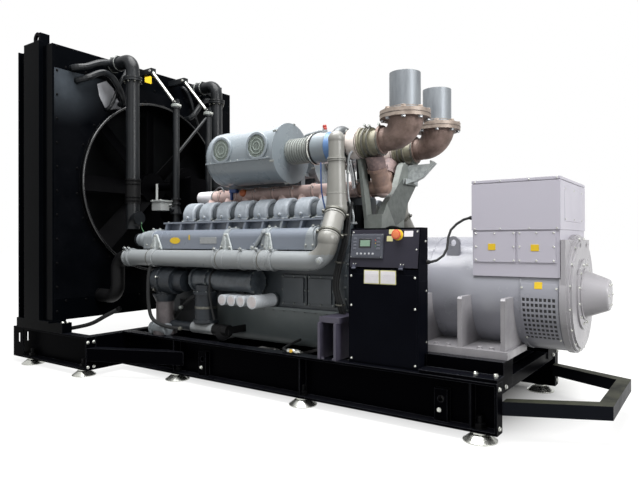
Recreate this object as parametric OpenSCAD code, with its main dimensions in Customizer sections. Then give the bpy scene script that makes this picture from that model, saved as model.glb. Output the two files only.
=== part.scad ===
// Diesel generator set: V16 engine, radiator, alternator and control cabinet on a ladder base.
// Millimetres. +X runs from the radiator to the alternator, the control side is -Y, +Z is up.
// The origin lies on the floor under the middle of the overall length and width.

/* [Base frame] */
// Outer face of a main rail from the centre line
rail_y = 790; // [700:10:900]
// Height of a main rail's section
rail_h = 320; // [240:10:400]
// Flange width of a main rail
rail_w = 100; // [80:5:120]
// Underside of the rails above the floor
rail_z = 60; // [50:5:90]
// Left end of the main rails
rail_x0 = -1474; // [-1500:1:-1400]
// Right end of the main rails
rail_x1 = 2203; // [2150:1:2260]
// Outer face of an outrigger from the centre line
outrigger_y = 1180; // [1100:10:1250]
// Outer end of the outriggers
outrigger_x0 = -2785; // [-2785:1:-2700]
// Outer face of the end frame's bar
end_frame_x1 = 2785; // [2700:1:2785]

/* [Radiator] */
// Half width of the radiator over its side frames
radiator_y = 1261; // [1200:1:1300]
// Underside of the radiator
radiator_z0 = 467; // [420:1:520]
// Top of the radiator's tanks
radiator_z1 = 3180; // [3000:5:3300]
// Outer face of the radiator
radiator_x0 = -2529; // [-2600:1:-2480]
// Fan side face of the radiator
radiator_x1 = -1968; // [-2000:1:-1940]
// Height of the fan's axis
fan_z = 1865; // [1800:5:1950]
// Radius of the hole in the fan shroud
shroud_r = 917; // [850:1:950]

/* [Engine] */
// Height of the crankshaft's axis
shaft_z = 888; // [870:1:900]
// Distance between two cylinders of one bank
cylinder_pitch = 228; // [220:1:235]
// Middle of the first cylinder
first_cylinder_x = -896; // [-920:1:-880]
// Cylinders in one bank
cylinders = 8; // [6:1:8]
// Angle of one bank from upright
bank_angle = 30; // [25:1:35]
// Distance of a turbocharger's axis from the centre line
turbo_y = 300; // [280:5:320]
// Height of a turbocharger's axis
turbo_z = 2040; // [2020:5:2060]
// Middle of an exhaust stub
stub_x = 1345; // [1330:1:1360]
// Outer radius of an exhaust stub
stub_r = 119.5; // [110:0.5:125]
// Top of an exhaust stub
stub_top = 2534; // [2450:1:2600]

/* [Alternator] */
// Radius of the alternator's frame
alternator_r = 395; // [380:1:400]
// Left end of the alternator's frame
alternator_x0 = 1290; // [1250:5:1300]
// Right end of the alternator's frame
alternator_x1 = 2475; // [2460:1:2480]

/* [Control cabinet] */
// Left side of the cabinet
cabinet_x0 = 1110; // [1100:1:1130]
// Right side of the cabinet
cabinet_x1 = 1663; // [1650:1:1680]
// Front of the cabinet, measured along -Y
cabinet_y = 741; // [730:1:745]
// Depth of the cabinet
cabinet_depth = 144; // [140:1:160]
// Top of the cabinet
cabinet_z1 = 1345; // [1320:1:1360]
// How far the top of the sloping face leans back
cabinet_lean = 38; // [20:1:60]
// Height of the door's hinge pins
hinge_z = 1060; // [1050:1:1080]

/* [Hidden] */

$fn = 64;
rail_top = rail_z + rail_h;
outrigger_h = 310;
outrigger_top = rail_z + outrigger_h;
flange_t = 18;
web_t = 14;
beam_w = 100;
// Middles of the feet along X, and their distance from the centre line
foot_places = [[2077, 734], [689, 734], [-739, 734], [-1593, 1125], [-2499, 1125]];
// Middles of the lifting lugs in the rails
lug_places = [1821, -400];

core_x1 = -2250;
tank_top_z = 2950;
tank_bottom_z = 700;
side_t = 60;
eye_x = -2201;
eye_z = 3262;
plate_t = 20;

post_x = -1339;
post_y = 228;
post_top = 2700;
post_r = 34;

coolant_y = 590;
coolant_x = -1575;
coolant_r = 67;
coolant_top = 3105;
coolant_low = 1272;

case_x0 = -1060;
case_x1 = 866;
gear_x0 = -1250;
deck_s = 560;
head_s = 690;
head_half = 150;
case_half = 430;
// Height where the middles of the two banks meet
vee_z = shaft_z + 18;
sump_top = 690;
sump_z = 352;

manifold_x0 = -1290;
manifold_x1 = 770;
manifold_y1 = 680;
manifold_z0 = 1186;
manifold_z1 = 1360;

charge_y = 700;
charge_z = 1100;
charge_r = 76;
charge_x0 = -1500;
charge_x1 = 905;

drum_r = 250;
drum_z = 2022;
drum_x0 = -535;
drum_x1 = 235;
drum_y = -300;
inlet_places = [-359, 62];
inlet_r = 108;
duct_r = 100;
bell_x = 480;
compressor_x = 725;
charge_knee = [868, -530, 1505];
charge_neck_z = 1890;
charge_top = [868, -530, turbo_z + 10];

flange_z = 2212;
pipe_flange_t = 30;
elbow_r = 148;
elbow_x = 1197;
elbow_z = flange_z - 16 - elbow_r;
alternator_foot_y = 590;
alternator_foot_z = 490;
shield_x1 = 2556;
box_x0 = 1903;
box_x1 = 2484;
box_y = 399;
box_z0 = 1013;
box_z1 = 1666;

cabinet_z0 = rail_top;
sheet = 4;
hinge_y = -cabinet_y - 12;
pin_r = 4;
door_gap = 5;
slope_z0 = hinge_z - 4;
lean_angle = atan(cabinet_lean / (cabinet_z1 - slope_z0));
hinge_places = [cabinet_x0 + 51, cabinet_x1 - 126];

// A cylinder that runs along +X from x0 to x1
module along_x(x0, x1, r, y = 0, z = 0) {
    translate([x0, y, z]) rotate([0, 90, 0]) cylinder(h = x1 - x0, r = r);
}

// A cylinder from point p to point q
module tube(p, q, r) {
    d = q - p;
    translate(p) rotate([0, acos(d[2] / norm(d)), atan2(d[1], d[0])]) cylinder(h = norm(d), r = r);
}

// A cone that runs along +X from x0 to x1
module cone_x(x0, x1, r0, r1, y = 0, z = 0) {
    translate([x0, y, z]) rotate([0, 90, 0]) cylinder(h = x1 - x0, r1 = r0, r2 = r1);
}

// A torus round an axis along X
module torus_x(x, major, minor, y = 0, z = 0) {
    translate([x, y, z]) rotate([0, 90, 0]) rotate_extrude() translate([major, 0]) circle(r = minor);
}

// A row of equal rings along X
module rings_x(x0, pitch, count, width, r, y, z) {
    for (i = [0:count - 1]) along_x(x0 + i * pitch, x0 + i * pitch + width, r, y, z);
}

// Points of an arc with centre c, from angle a0 to angle a1
function arc(c, r, a0, a1, steps = 8) =
    [for (i = [0:steps]) let (a = a0 + (a1 - a0) * i / steps) c + r * [cos(a), sin(a)]];

// A box given by its low and high corners
module span(low, high) {
    translate(low) cube(high - low);
}

// The same child on both sides of the centre line
module both_sides() {
    children();
    mirror([0, 1, 0]) children();
}

// Profile of a rolled channel: web on the right, flanges pointing left
module channel_profile(w, h) {
    difference() {
        square([w, h]);
        translate([-1, flange_t]) square([w - web_t + 1, h - 2 * flange_t]);
    }
}

// A quarter bend in the XZ plane of a solid pipe.
// It leaves along +X at the origin and ends going +Z at [bend, 0, bend].
module bend_up(bend, r) {
    translate([0, 0, bend]) rotate([90, 0, 0]) rotate([0, 0, -90])
        rotate_extrude(angle = 90) translate([bend, 0]) circle(r = r);
}

// Main rails, channels with their flanges pointing outwards
module base_rails() {
    color("#17181a") both_sides() difference() {
        union() {
            translate([rail_x0, -rail_y, rail_z]) rotate([90, 0, 90])
                linear_extrude(rail_x1 - rail_x0) channel_profile(rail_w, rail_h);
            rail_fittings();
        }
        for (x = lug_places) translate([x, 0, rail_z + 165]) rotate([90, 0, 0])
            cylinder(h = 3000, r = 22, center = true);
    }
}

// End plate, stiffeners and lifting lugs inside one channel
module rail_fittings() {
    inner = rail_y - rail_w + web_t;
    span([rail_x1 - 16, -rail_y, rail_z + flange_t], [rail_x1, -inner, rail_top - flange_t]);
    for (x = lug_places)
        span([x - 45, -rail_y + 40, rail_z + flange_t], [x + 45, -inner, rail_z + 230]);
    for (x = [-739, 689, 2030])
        span([x - 6, -rail_y + 6, rail_z + flange_t], [x + 6, -inner, rail_top - flange_t]);
}

// Beams across the base, diagonal braces and the blocks under the alternator
module base_cross_members() {
    inner = rail_y - rail_w;
    color("#17181a") {
        span([rail_x0 - beam_w, -outrigger_y + beam_w, rail_z],
             [rail_x0, outrigger_y - beam_w, outrigger_top]);
        for (x = [-900, 250, 1050])
            span([x, -inner, rail_z + 40], [x + 90, inner, rail_z + 200]);
        for (x = [2010, 2113])
            span([x, -inner, rail_top - 90], [x + 80, inner, rail_top - 10]);
        both_sides() {
            brace();
            span([1680, -rail_y + 6, rail_top], [2203, -rail_y + rail_w, rail_top + 24]);
            span([1680, -rail_y + 130, rail_top - 60], [2203, -rail_y + 320, alternator_foot_z]);
            span([1680, -rail_y + rail_w, rail_top - 60], [2203, -rail_y + 130, rail_top + 24]);
        }
    }
}

// Diagonal brace from an outrigger's end to a main rail, cut to meet both
module brace() {
    difference() {
        translate([rail_x0, -outrigger_y + 50, rail_z + 90]) rotate([0, 0, 23.5])
            translate([-60, -40, 0]) cube([1000, 80, 120]);
        span([rail_x0 - 300, -outrigger_y - 100, 0], [rail_x0, 0, rail_top]);
        span([rail_x0 - 300, -rail_y, 0], [rail_x1, 0, rail_top]);
    }
}

// Beams under the radiator
module outriggers() {
    color("#17181a") both_sides() difference() {
        union() {
            translate([outrigger_x0, -outrigger_y, rail_z]) rotate([90, 0, 90])
                linear_extrude(rail_x0 - outrigger_x0) channel_profile(beam_w, outrigger_h);
            span([outrigger_x0, -outrigger_y, rail_z],
                 [outrigger_x0 + 190, -outrigger_y + 12, outrigger_top]);
            span([rail_x0 - 16, -outrigger_y, rail_z], [rail_x0, -outrigger_y + beam_w, outrigger_top]);
        }
        translate([outrigger_x0 + 110, 0, rail_z + 200]) cube([44, 3000, 96], center = true);
    }
}

// Towing frame at the alternator's end, a bent square tube
module end_frame() {
    tube = 86;
    spread = 690;
    bar_half = 417;
    inner_x = end_frame_x1 - tube;
    color("#1b1c1a") translate([0, 0, 166]) linear_extrude(tube) difference() {
        polygon([[rail_x1, -spread], [end_frame_x1, -bar_half], [end_frame_x1, bar_half], [rail_x1, spread]]);
        polygon([[rail_x1 - 1, -spread + tube], [inner_x, -bar_half + 70],
                 [inner_x, bar_half - 70], [rail_x1 - 1, spread - tube]]);
    }
}

// Ten bell shaped machine feet with their studs
module isolator_feet() {
    color("#b9bab4") for (p = foot_places, side = [-1, 1]) translate([p[0], side * p[1], 0]) {
        cylinder(h = 8, r = 108);
        translate([0, 0, 8]) cylinder(h = 34, r1 = 106, r2 = 62);
        translate([0, 0, 42]) cylinder(h = rail_z - 42, r = 34);
    }
}

// Side frames of the radiator with columns, lifting eyes and feet
module radiator_frames() {
    inner = radiator_y - side_t;
    color("#151617") both_sides() difference() {
        union() {
            span([radiator_x0, -inner - 20, radiator_z0], [radiator_x1, -inner, radiator_z1]);
            span([radiator_x0, -radiator_y, radiator_z0], [radiator_x0 + 16, -inner, radiator_z1]);
            span([-2417, -radiator_y, radiator_z0], [-2137, -inner, radiator_z1 + 50]);
            span([-2723, -outrigger_y, outrigger_top], [-1868, -outrigger_y + beam_w, radiator_z0]);
            span([-2529, -radiator_y, radiator_z0], [-1968, -outrigger_y + beam_w, radiator_z0 + 20]);
            span([-2262, -radiator_y + 16, radiator_z1], [-2140, -radiator_y + 42, eye_z]);
            translate([eye_x, -radiator_y + 42, eye_z]) rotate([90, 0, 0]) cylinder(h = 26, r = 61);
            span([-2166, -radiator_y + 16, radiator_z1 + 50], [-2140, -radiator_y + 58, eye_z + 50]);
            span([-2166, -radiator_y + 58, radiator_z1], [-2140, -radiator_y + 112, eye_z + 50]);
        }
        translate([eye_x, -radiator_y + 60, eye_z]) rotate([90, 0, 0]) cylinder(h = 60, r = 30);
    }
}

// Finned block of the radiator
module radiator_core() {
    inner = radiator_y - side_t;
    color("#101112") span([radiator_x0, -inner, tank_bottom_z], [core_x1, inner, tank_top_z]);
}

// Top and bottom tanks
module radiator_tanks() {
    inner = radiator_y - side_t;
    color("#151617") {
        span([radiator_x0, -inner, tank_top_z], [radiator_x1, inner, radiator_z1]);
        span([radiator_x0, -inner, radiator_z0 + 20], [radiator_x1, inner, tank_bottom_z]);
    }
}

// Shroud plate with the rolled ring that the fan turns in
module fan_shroud() {
    inner = radiator_y - side_t;
    color("#17181a") difference() {
        union() {
            span([radiator_x1 - plate_t, -inner, tank_bottom_z], [radiator_x1, inner, tank_top_z]);
            along_x(radiator_x1 - plate_t, radiator_x1 + 66, shroud_r + 16, 0, fan_z);
            torus_x(radiator_x1 + 60, shroud_r + 14, 14, 0, fan_z);
        }
        along_x(radiator_x1 - 100, radiator_x1 + 100, shroud_r, 0, fan_z);
    }
}

// Eight bladed fan
module fan() {
    blade = shroud_r - 25;
    color("#26282a") {
        along_x(-2100, -1990, 170, 0, fan_z);
        for (i = [0:7]) translate([-2045, 0, fan_z]) rotate([45 * i, 0, 0]) rotate([0, 0, 35])
            translate([-9, -110, 150]) cube([12, 220, blade - 170]);
    }
}

// Fan shaft, its bearing bracket and stepped pulleys
module fan_drive() {
    color("#1c1d1e") {
        along_x(-1990, -1330, 42, 0, fan_z);
        along_x(-1488, -1412, 150, 0, fan_z);
        rings_x(-1484, 24, 3, 14, 190, 0, fan_z);
        along_x(-1400, -1330, 96, 0, fan_z);
        span([-1410, -110, 1200], [gear_x0, 110, fan_z + 60]);
    }
}

// Posts on the engine's front, the rods that tie the radiator's top to them and a sensor box
module radiator_stays() {
    color("#2b2d2f") {
        both_sides() {
            translate([post_x, -post_y, 1350]) cylinder(h = post_top - 1350, r = post_r);
            translate([post_x, -post_y, 1352]) cylinder(h = 18, r = post_r + 26);
            translate([post_x, -post_y, 1540]) cylinder(h = 18, r = post_r + 24);
            translate([post_x, -post_y, 1557]) cylinder(h = 60, r1 = post_r + 20, r2 = post_r + 8);
            for (z = [1640, 1690]) translate([post_x, -post_y, z]) cylinder(h = 16, r = post_r + 14);
            tube([post_x, -post_y, 1600], [post_x, -post_y - 76, 1580], 22);
            translate([post_x, -post_y, post_top - 60]) cylinder(h = 50, r = post_r + 12);
            translate([post_x - 30, -post_y - 16, post_top - 50]) cube([60, 32, 90]);
            tube([-1728, -post_y, 3100], [post_x - 6, -post_y, post_top - 8], 17);
            span([radiator_x1, -post_y - 30, 3070], [-1700, -post_y + 30, 3130]);
        }
        tube([post_x, post_y - 20, 2630], [post_x, -post_y + 20, 2180], 16);
        along_x(-1470, post_x, 12, -post_y, 1640);
        span([-1580, -350, 1580], [-1440, -200, 1672]);
        span([-1590, -360, 1672], [-1430, -190, 1688]);
        translate([-1535, -320, 1688]) cylinder(h = 170, r = 13);
    }
}

// Upper coolant pipes from the radiator's top tank down to the engine's front, with their vent hoses
module coolant_pipes() {
    color("#232527") both_sides() {
        coolant_pipe();
        hose([radiator_x1, -1016, 2984], [[-1936, -1016, 2984], [-1892, -984, 2990], [-1876, -930, 3004],
            [-1875, -860, 3038], [-1876, -776, 3080], [-1876, -690, 3106]], [-1876, -620, 3112], 34);
        hose([radiator_x1, -966, 2872], [[-1938, -966, 2872], [-1886, -936, 2886], [-1858, -880, 2916],
            [-1850, -810, 2962], [-1850, -732, 2990], [-1850, -652, 2972], [-1850, -596, 2920],
            [-1850, -545, 2850], [-1864, -500, 2780], [-1900, -466, 2738], [-1942, -462, 2732]],
            [radiator_x1, -462, 2732], 32);
        hose([radiator_x1, -404, 3096], [[-1946, -404, 3096], [-1920, -424, 3066], [-1914, -462, 3012],
            [-1914, -500, 2940], [-1914, -540, 2836], [-1914, -580, 2736], [-1922, -612, 2672],
            [-1946, -624, 2650]], [radiator_x1, -624, 2650], 20);
    }
}

// One coolant pipe with its flanges and hose sleeves
module coolant_pipe() {
    bend = 110;
    translate([0, -coolant_y, 0]) {
        along_x(radiator_x1, coolant_x - bend, coolant_r, 0, coolant_top);
        along_x(radiator_x1, radiator_x1 + 26, coolant_r + 7, 0, coolant_top);
        along_x(radiator_x1 + 70, radiator_x1 + 190, coolant_r + 9, 0, coolant_top);
        translate([coolant_x - bend, 0, coolant_top]) mirror([0, 0, 1]) bend_up(bend, coolant_r);
        translate([coolant_x, 0, coolant_low + bend])
            cylinder(h = coolant_top - coolant_low - 2 * bend, r = coolant_r);
        translate([coolant_x, 0, coolant_low + bend]) rotate([0, 90, 0]) rotate([0, 0, 180])
            bend_up(bend, coolant_r);
        translate([coolant_x, 0, 2884]) cylinder(h = 18, r = coolant_r + 26);
        translate([coolant_x, 0, 2908]) cylinder(h = 18, r = coolant_r + 26);
        translate([coolant_x, 0, 1640]) cylinder(h = 250, r = coolant_r + 9);
        along_x(coolant_x + bend, -1440, coolant_r, 0, coolant_low);
    }
}

// Hoses from the charge pipes' front ends to the radiator
module charge_air_hoses() {
    bend = 130;
    color("#1a1b1c") both_sides() translate([0, -charge_y, 0]) {
        along_x(-1660 + bend - 10, charge_x0, charge_r - 8, 0, charge_z);
        translate([-1660 + bend - 10, 0, charge_z]) mirror([1, 0, 0]) mirror([0, 0, 1])
            bend_up(bend, charge_r - 8);
        translate([-1670, 0, 830]) cylinder(h = charge_z - bend - 830, r = charge_r - 8);
        translate([-1670, 0, 830]) rotate([0, 90, 0]) mirror([0, 0, 1]) bend_up(bend, charge_r - 8);
        along_x(radiator_x1, -1670 - bend, charge_r - 8, 0, 830 - bend);
    }
}

// Oil sump with rounded lower corners and a flange at its top
module sump() {
    corner = 90;
    half = 430;
    color("#44494a") {
        translate([-560, 0, 0]) rotate([90, 0, 90]) linear_extrude(1420) polygon(concat(
            [[half, sump_top - 24], [-half, sump_top - 24]],
            arc([-half + corner + 40, sump_z + corner], corner, 180, 270),
            arc([half - corner - 40, sump_z + corner], corner, 270, 360)));
        span([-560, -half - 24, sump_top - 24], [860, half + 24, sump_top]);
    }
}

// Points of the engine at distance s along a bank's axis and h across it, near side
function bank(s, h) = [-s * sin(bank_angle) - h * cos(bank_angle),
                       vee_z + s * cos(bank_angle) - h * sin(bank_angle)];

// Crankcase with its two banks and a rail at the sump joint
module crankcase() {
    a = bank(deck_s, head_half + 8);
    b = bank(deck_s, -head_half - 8);
    color("#505556") {
        translate([case_x0, 0, 0]) rotate([90, 0, 90]) linear_extrude(case_x1 - case_x0)
            polygon([[-case_half, sump_top], [case_half, sump_top], [case_half, 1290],
                     [-a[0], a[1]], [-b[0], b[1]], [0, 1240], b, a, [-case_half, 1290]]);
        both_sides() {
            span([case_x0, -case_half - 24, sump_top], [case_x1, -case_half + 1, sump_top + 4]);
            for (x = [-320, 830]) span([x, -case_half - 20, sump_top + 10], [x + 36, -case_half + 1, 1186]);
        }
    }
}

// Doors on the crankcase's sides, each with a raised middle
module crankcase_doors() {
    color("#4a4f50") both_sides() for (x = [262, 538]) {
        span([x, -case_half - 30, 722], [x + 262, -case_half, 972]);
        span([x + 24, -case_half - 45, 746], [x + 238, -case_half - 29, 948]);
    }
}

// Timing case and front cover with the crankshaft's damper
module gear_case() {
    color("#5a5f60") {
        translate([gear_x0, 0, 0]) rotate([90, 0, 90]) linear_extrude(case_x0 - gear_x0)
            polygon([[-420, 560], [420, 560], [425, 1000], [425, 1280], [150, 1350], [-150, 1350],
                     [-425, 1280], [-425, 1000]]);
        along_x(gear_x0 - 90, gear_x0 + 1, 230, 0, shaft_z);
        along_x(gear_x0 - 150, gear_x0, 120, 0, shaft_z);
    }
}

// Flywheel housing between the engine and the alternator
module flywheel_housing() {
    color("#6a6f6f") {
        along_x(case_x1, case_x1 + 40, 480, 0, shaft_z);
        along_x(case_x1, 1100, 470, 0, shaft_z);
        along_x(1100, alternator_x0, 420, 0, shaft_z);
        along_x(1180, 1210, 452, 0, shaft_z);
    }
}

// One bank's piece, from an outline given along and across the bank's axis
module bank_prism(x0, x1, s0, s1, half) {
    translate([x0, 0, 0]) rotate([90, 0, 90]) linear_extrude(x1 - x0)
        polygon([bank(s0, half), bank(s1, half), bank(s1, -half), bank(s0, -half)]);
}

// Cylinder heads, one row on each bank
module cylinder_heads() {
    color("#8f9390") both_sides() for (i = [0:cylinders - 1]) {
        x = first_cylinder_x + i * cylinder_pitch;
        bank_prism(x - 112, x + 112, deck_s, head_s, head_half);
    }
}

// Rounded hoods over the valve gear, one for each cylinder, joined by a lower band along each bank
module rocker_covers() {
    r = 125;
    round_r = 22;
    half = 78;
    last_x = first_cylinder_x + (cylinders - 1) * cylinder_pitch;
    c = bank(head_s, 0);
    color("#a5a8a4") both_sides() translate([0, c[0], c[1]]) rotate([bank_angle, 0, 0]) difference() {
        union() {
            for (i = [0:cylinders - 1]) translate([first_cylinder_x + i * cylinder_pitch, 0, 0]) {
                rotate([0, 90, 0]) rotate_extrude() union() {
                    translate([0, -half]) square([r - round_r, 2 * half]);
                    translate([0, -half + round_r]) square([r, 2 * half - 2 * round_r]);
                    translate([r - round_r, half - round_r]) circle(r = round_r);
                    translate([r - round_r, -half + round_r]) circle(r = round_r);
                }
                span([-half - 12, -r - 8, 0], [half + 12, r + 8, 16]);
            }
            along_x(first_cylinder_x - half + 10, last_x + half - 10, 92);
        }
        span([case_x0 - 200, -400, -400], [case_x1 + 200, 400, 0]);
    }
}

// Outline of a charge air box, rounded above, as [y, z], grown outwards by g
function charge_outline(g) = concat(
    [[-case_half, manifold_z0 - g], [-manifold_y1 - g, manifold_z0 - g]],
    arc([-manifold_y1 + 75, manifold_z1 - 75], 75 + g, 180, 90),
    [[-case_half - 34, manifold_z1 + g], [-case_half, 1300]]);

// Cast rib round a charge air box, narrow above and wide below
module charge_rib(x) {
    intersection() {
        translate([x - 80, 0, 0]) rotate([90, 0, 90]) linear_extrude(160) polygon(charge_outline(12));
        translate([x, -case_half - 40, 0]) rotate([90, 0, 0]) linear_extrude(300)
            polygon([[-16, 1400], [16, 1400], [58, 1160], [-58, 1160]]);
    }
}

// Charge air boxes with cast ribs, the slotted guard above them and the coolant outlet in front
module charge_air_manifolds() {
    guard_x0 = -1150;
    guard_x1 = 765;
    color("#a9aba3") both_sides() {
        translate([manifold_x0, 0, 0]) rotate([90, 0, 90])
            linear_extrude(manifold_x1 - manifold_x0) polygon(charge_outline(0));
        difference() {
            for (x = [-1190, -176, 276, 720]) charge_rib(x);
            along_x(case_x0 - 400, case_x1, charge_r + 11, -charge_y, charge_z);
        }
        span([guard_x0, -552, 1424], [guard_x1, -478, 1440]);
        span([guard_x0, -484, manifold_z1 - 20], [guard_x1, -478, 1430]);
        for (i = [0:9]) translate([guard_x0 + 6 + i * 206, -548, 0]) rotate([90, 0, 0]) mirror([0, 0, 1])
            linear_extrude(66) polygon([[0, 1340], [22, 1340], [50, 1430], [28, 1430]]);
        tube([148, -690, 1214], [258, -668, 1342], 14);
        translate([148, -manifold_y1 + 8, 1212]) rotate([90, 0, 0]) cylinder(h = 34, r = 27);
        translate([258, -manifold_y1 + 40, 1340]) rotate([90, 0, 0]) cylinder(h = 44, r = 19);
        along_x(-1440, manifold_x0 + 1, 62, -590, 1272);
        translate([-1352, -590, 1272]) sphere(r = 80);
        along_x(-1306, manifold_x0 + 1, 86, -590, 1272);
    }
}

// Charge pipes from the turbochargers' compressors along the engine's sides, with their couplings
module charge_air_pipes() {
    bend = 170;
    upper_r = 62;
    ankle = [charge_x1, -charge_y, charge_z + bend];
    neck = [charge_top[0], charge_top[1], charge_neck_z];
    color("#a9aba3") both_sides() {
        translate([0, -charge_y, 0]) {
            along_x(charge_x0, charge_x1 - bend, charge_r, 0, charge_z);
            for (x = [0, 60]) along_x(charge_x0 + x, charge_x0 + x + 25, charge_r + 10, 0, charge_z);
            along_x(-265, 395, charge_r + 5, 0, charge_z);
            for (x = [-265, 40, 215, 368]) along_x(x, x + 28, charge_r + 10, 0, charge_z);
            translate([charge_x1 - bend, 0, charge_z]) bend_up(bend, charge_r);
            tube([868, 0, charge_z + 64], [872, -74, charge_z], 26);
        }
        difference() {
            union() {
                tube(ankle, charge_knee, charge_r + 2);
                translate(ankle) sphere(r = charge_r + 7);
                translate(charge_knee) sphere(r = charge_r + 11);
                translate(charge_knee)
                    cylinder(h = neck[2] - charge_knee[2], r1 = charge_r + 8, r2 = upper_r + 2);
                translate(neck - [0, 0, 12]) cylinder(h = 30, r = upper_r + 9);
                tube(neck - [0, 0, 20], charge_top, upper_r);
                translate(charge_top) sphere(r = upper_r + 4);
                tube(charge_top, [compressor_x + 55, -turbo_y - 90, turbo_z + 20], upper_r - 4);
            }
            along_x(0, 2000, 160, -turbo_y, turbo_z);
        }
    }
}

// Exhaust manifolds in the valley between the banks, with a riser to each turbine
module exhaust_manifolds() {
    color("#a67c6c") {
        exhaust_bank(1040, 74);
        mirror([0, 1, 0]) exhaust_bank(930, 68);
    }
}

// One bank's exhaust manifold with its riser at end_x
module exhaust_bank(end_x, riser_r) {
    axis = [-105, 1700];
    difference() {
        union() {
            along_x(-1085, end_x, 62, axis[0], axis[1]);
            for (i = [0:cylinders - 1]) {
                x = first_cylinder_x + i * cylinder_pitch;
                tube([x, axis[0], axis[1]], [x, -205, 1520], 42);
                along_x(x + 96, x + 130, 72, axis[0], axis[1]);
            }
            translate([end_x, axis[0], axis[1]]) sphere(r = riser_r + 6);
            tube([end_x, axis[0], axis[1]], [end_x, -turbo_y, turbo_z], riser_r);
            tube([end_x, -180, 1831], [end_x, -192, 1852], riser_r + 13);
        }
        bank_prism(case_x0, case_x1, deck_s, head_s, head_half);
        along_x(case_x0, 2000, 123, -turbo_y, turbo_z);
    }
}

// Turbochargers: compressor volute, bearing housing, insulated turbine and outlet
module turbochargers() {
    color("#9a9d98") both_sides() {
        along_x(compressor_x, compressor_x + 106, 112, -turbo_y, turbo_z);
        torus_x(compressor_x + 55, 112, 46, -turbo_y, turbo_z);
        along_x(compressor_x, compressor_x + 12, 134, -turbo_y, turbo_z);
        along_x(compressor_x + 105, compressor_x + 141, 84, -turbo_y, turbo_z);
        along_x(compressor_x + 140, compressor_x + 240, 122, -turbo_y, turbo_z);
        along_x(compressor_x + 239, compressor_x + 300, 104, -turbo_y, turbo_z);
        along_x(compressor_x + 248, compressor_x + 262, 120, -turbo_y, turbo_z);
        along_x(compressor_x + 299, elbow_x - 60, 88, -turbo_y, turbo_z);
        along_x(compressor_x + 330, compressor_x + 344, 112, -turbo_y, turbo_z);
    }
}

// A quarter bend in the XZ plane that widens from r0 to r1.
// It leaves along +X at the origin and ends going +Z at [bend, 0, bend].
module flared_bend(bend, r0, r1) {
    sides = 32;
    steps = 10;
    points = [for (i = [0:steps], k = [0:sides - 1]) let (a = 90 * i / steps, r = r0 + (r1 - r0) * i / steps,
        h = r * cos(360 * k / sides), out = bend - r * sin(360 * k / sides))
        [out * sin(a), h, bend - out * cos(a)]];
    polyhedron(points = points, faces = concat([[for (k = [0:sides - 1]) k]],
        [for (i = [0:steps - 1], k = [0:sides - 1]) [i * sides + k, (i + 1) * sides + k,
            (i + 1) * sides + (k + 1) % sides, i * sides + (k + 1) % sides]],
        [[for (k = [sides - 1:-1:0]) steps * sides + k]]));
}

// Exhaust elbows that widen towards their flanges
module exhaust_elbows() {
    color("#826a58") both_sides() translate([elbow_x, -turbo_y, 0]) {
        translate([0, 0, elbow_z]) flared_bend(elbow_r, 90, 147);
        along_x(-60, 4, 94, 0, elbow_z);
        along_x(-60, -38, 112, 0, elbow_z);
        translate([stub_x - elbow_x, 0, flange_z - pipe_flange_t]) cylinder(h = pipe_flange_t, r = 194);
    }
}

// Exhaust stubs, open pipes with a flange and a weld collar
module exhaust_stubs() {
    color("#91969b") both_sides() translate([stub_x, -turbo_y, flange_z]) difference() {
        union() {
            cylinder(h = pipe_flange_t, r = 194);
            cylinder(h = pipe_flange_t + 22, r = stub_r + 9);
            cylinder(h = stub_top - flange_z, r = stub_r);
        }
        translate([0, 0, 10]) cylinder(h = 1000, r = stub_r - 6);
    }
}

// Casting that carries the turbochargers over the flywheel housing.
// A slim leg stands under the near turbine and a broad arm leans out to the far one.
module turbo_stand() {
    color("#8e928e") difference() {
        union() {
            span([920, -200, 1250], [1085, 200, 1470]);
            translate([920, 0, 0]) rotate([90, 0, 90]) linear_extrude(30)
                polygon([[-330, turbo_z], [-250, turbo_z], [-120, 1460], [-195, 1400]]);
            translate([1030, 0, 0]) rotate([90, 0, 90]) linear_extrude(55)
                polygon([[-200, 1440], [200, 1440], [278, 1590], [500, 1810], [470, turbo_z - 70],
                         [300, turbo_z - 60], [170, 1900], [70, 1713], [-110, 1560]]);
            translate([0, 325, 0]) rotate([90, 0, 0]) linear_extrude(50)
                polygon([[1084, 1760], [1150, 1770], [1215, 1800], [1335, 1915], [1300, 1940], [1084, 1940]]);
            span([1060, 180, 1740], [1110, 420, 1790]);
        }
        along_x(800, 1100, 492, 0, shaft_z);
        along_x(800, 1290, 130, turbo_y, turbo_z);
        along_x(800, 1000, 123, -turbo_y, turbo_z);
    }
}

// Air cleaner drums with a domed end, round inlets and a stand in the valley between the banks
module air_cleaners() {
    dome = 60;
    color("#b4b7b3") {
        both_sides() {
            translate([drum_x0, drum_y, drum_z]) rotate([0, 90, 0]) rotate_extrude() polygon(concat(
                [[0, drum_x1 - drum_x0], [0, -dome]], arc([drum_r - dome, 0], dome, 270, 360, 6),
                [[drum_r, drum_x1 - drum_x0]]));
            along_x(drum_x1 - 26, drum_x1 + 6, drum_r + 14, drum_y, drum_z);
            span([drum_x0 - 20, drum_y - drum_r - 10, drum_z - 66], [drum_x1 - 20, drum_y, drum_z - 54]);
            for (x = inlet_places) translate([x, drum_y - 260, drum_z + 50]) drum_inlet();
        }
        for (i = [2.5, 4.5]) drum_stand(first_cylinder_x + i * cylinder_pitch);
    }
}

// Round inlet of an air cleaner, with a shallow mouth that faces -Y
module drum_inlet() {
    rotate([-90, 0, 0]) difference() {
        cylinder(h = 240, r = inlet_r);
        translate([0, 0, -1]) cylinder(h = 31, r = inlet_r - 10);
    }
}

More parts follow.
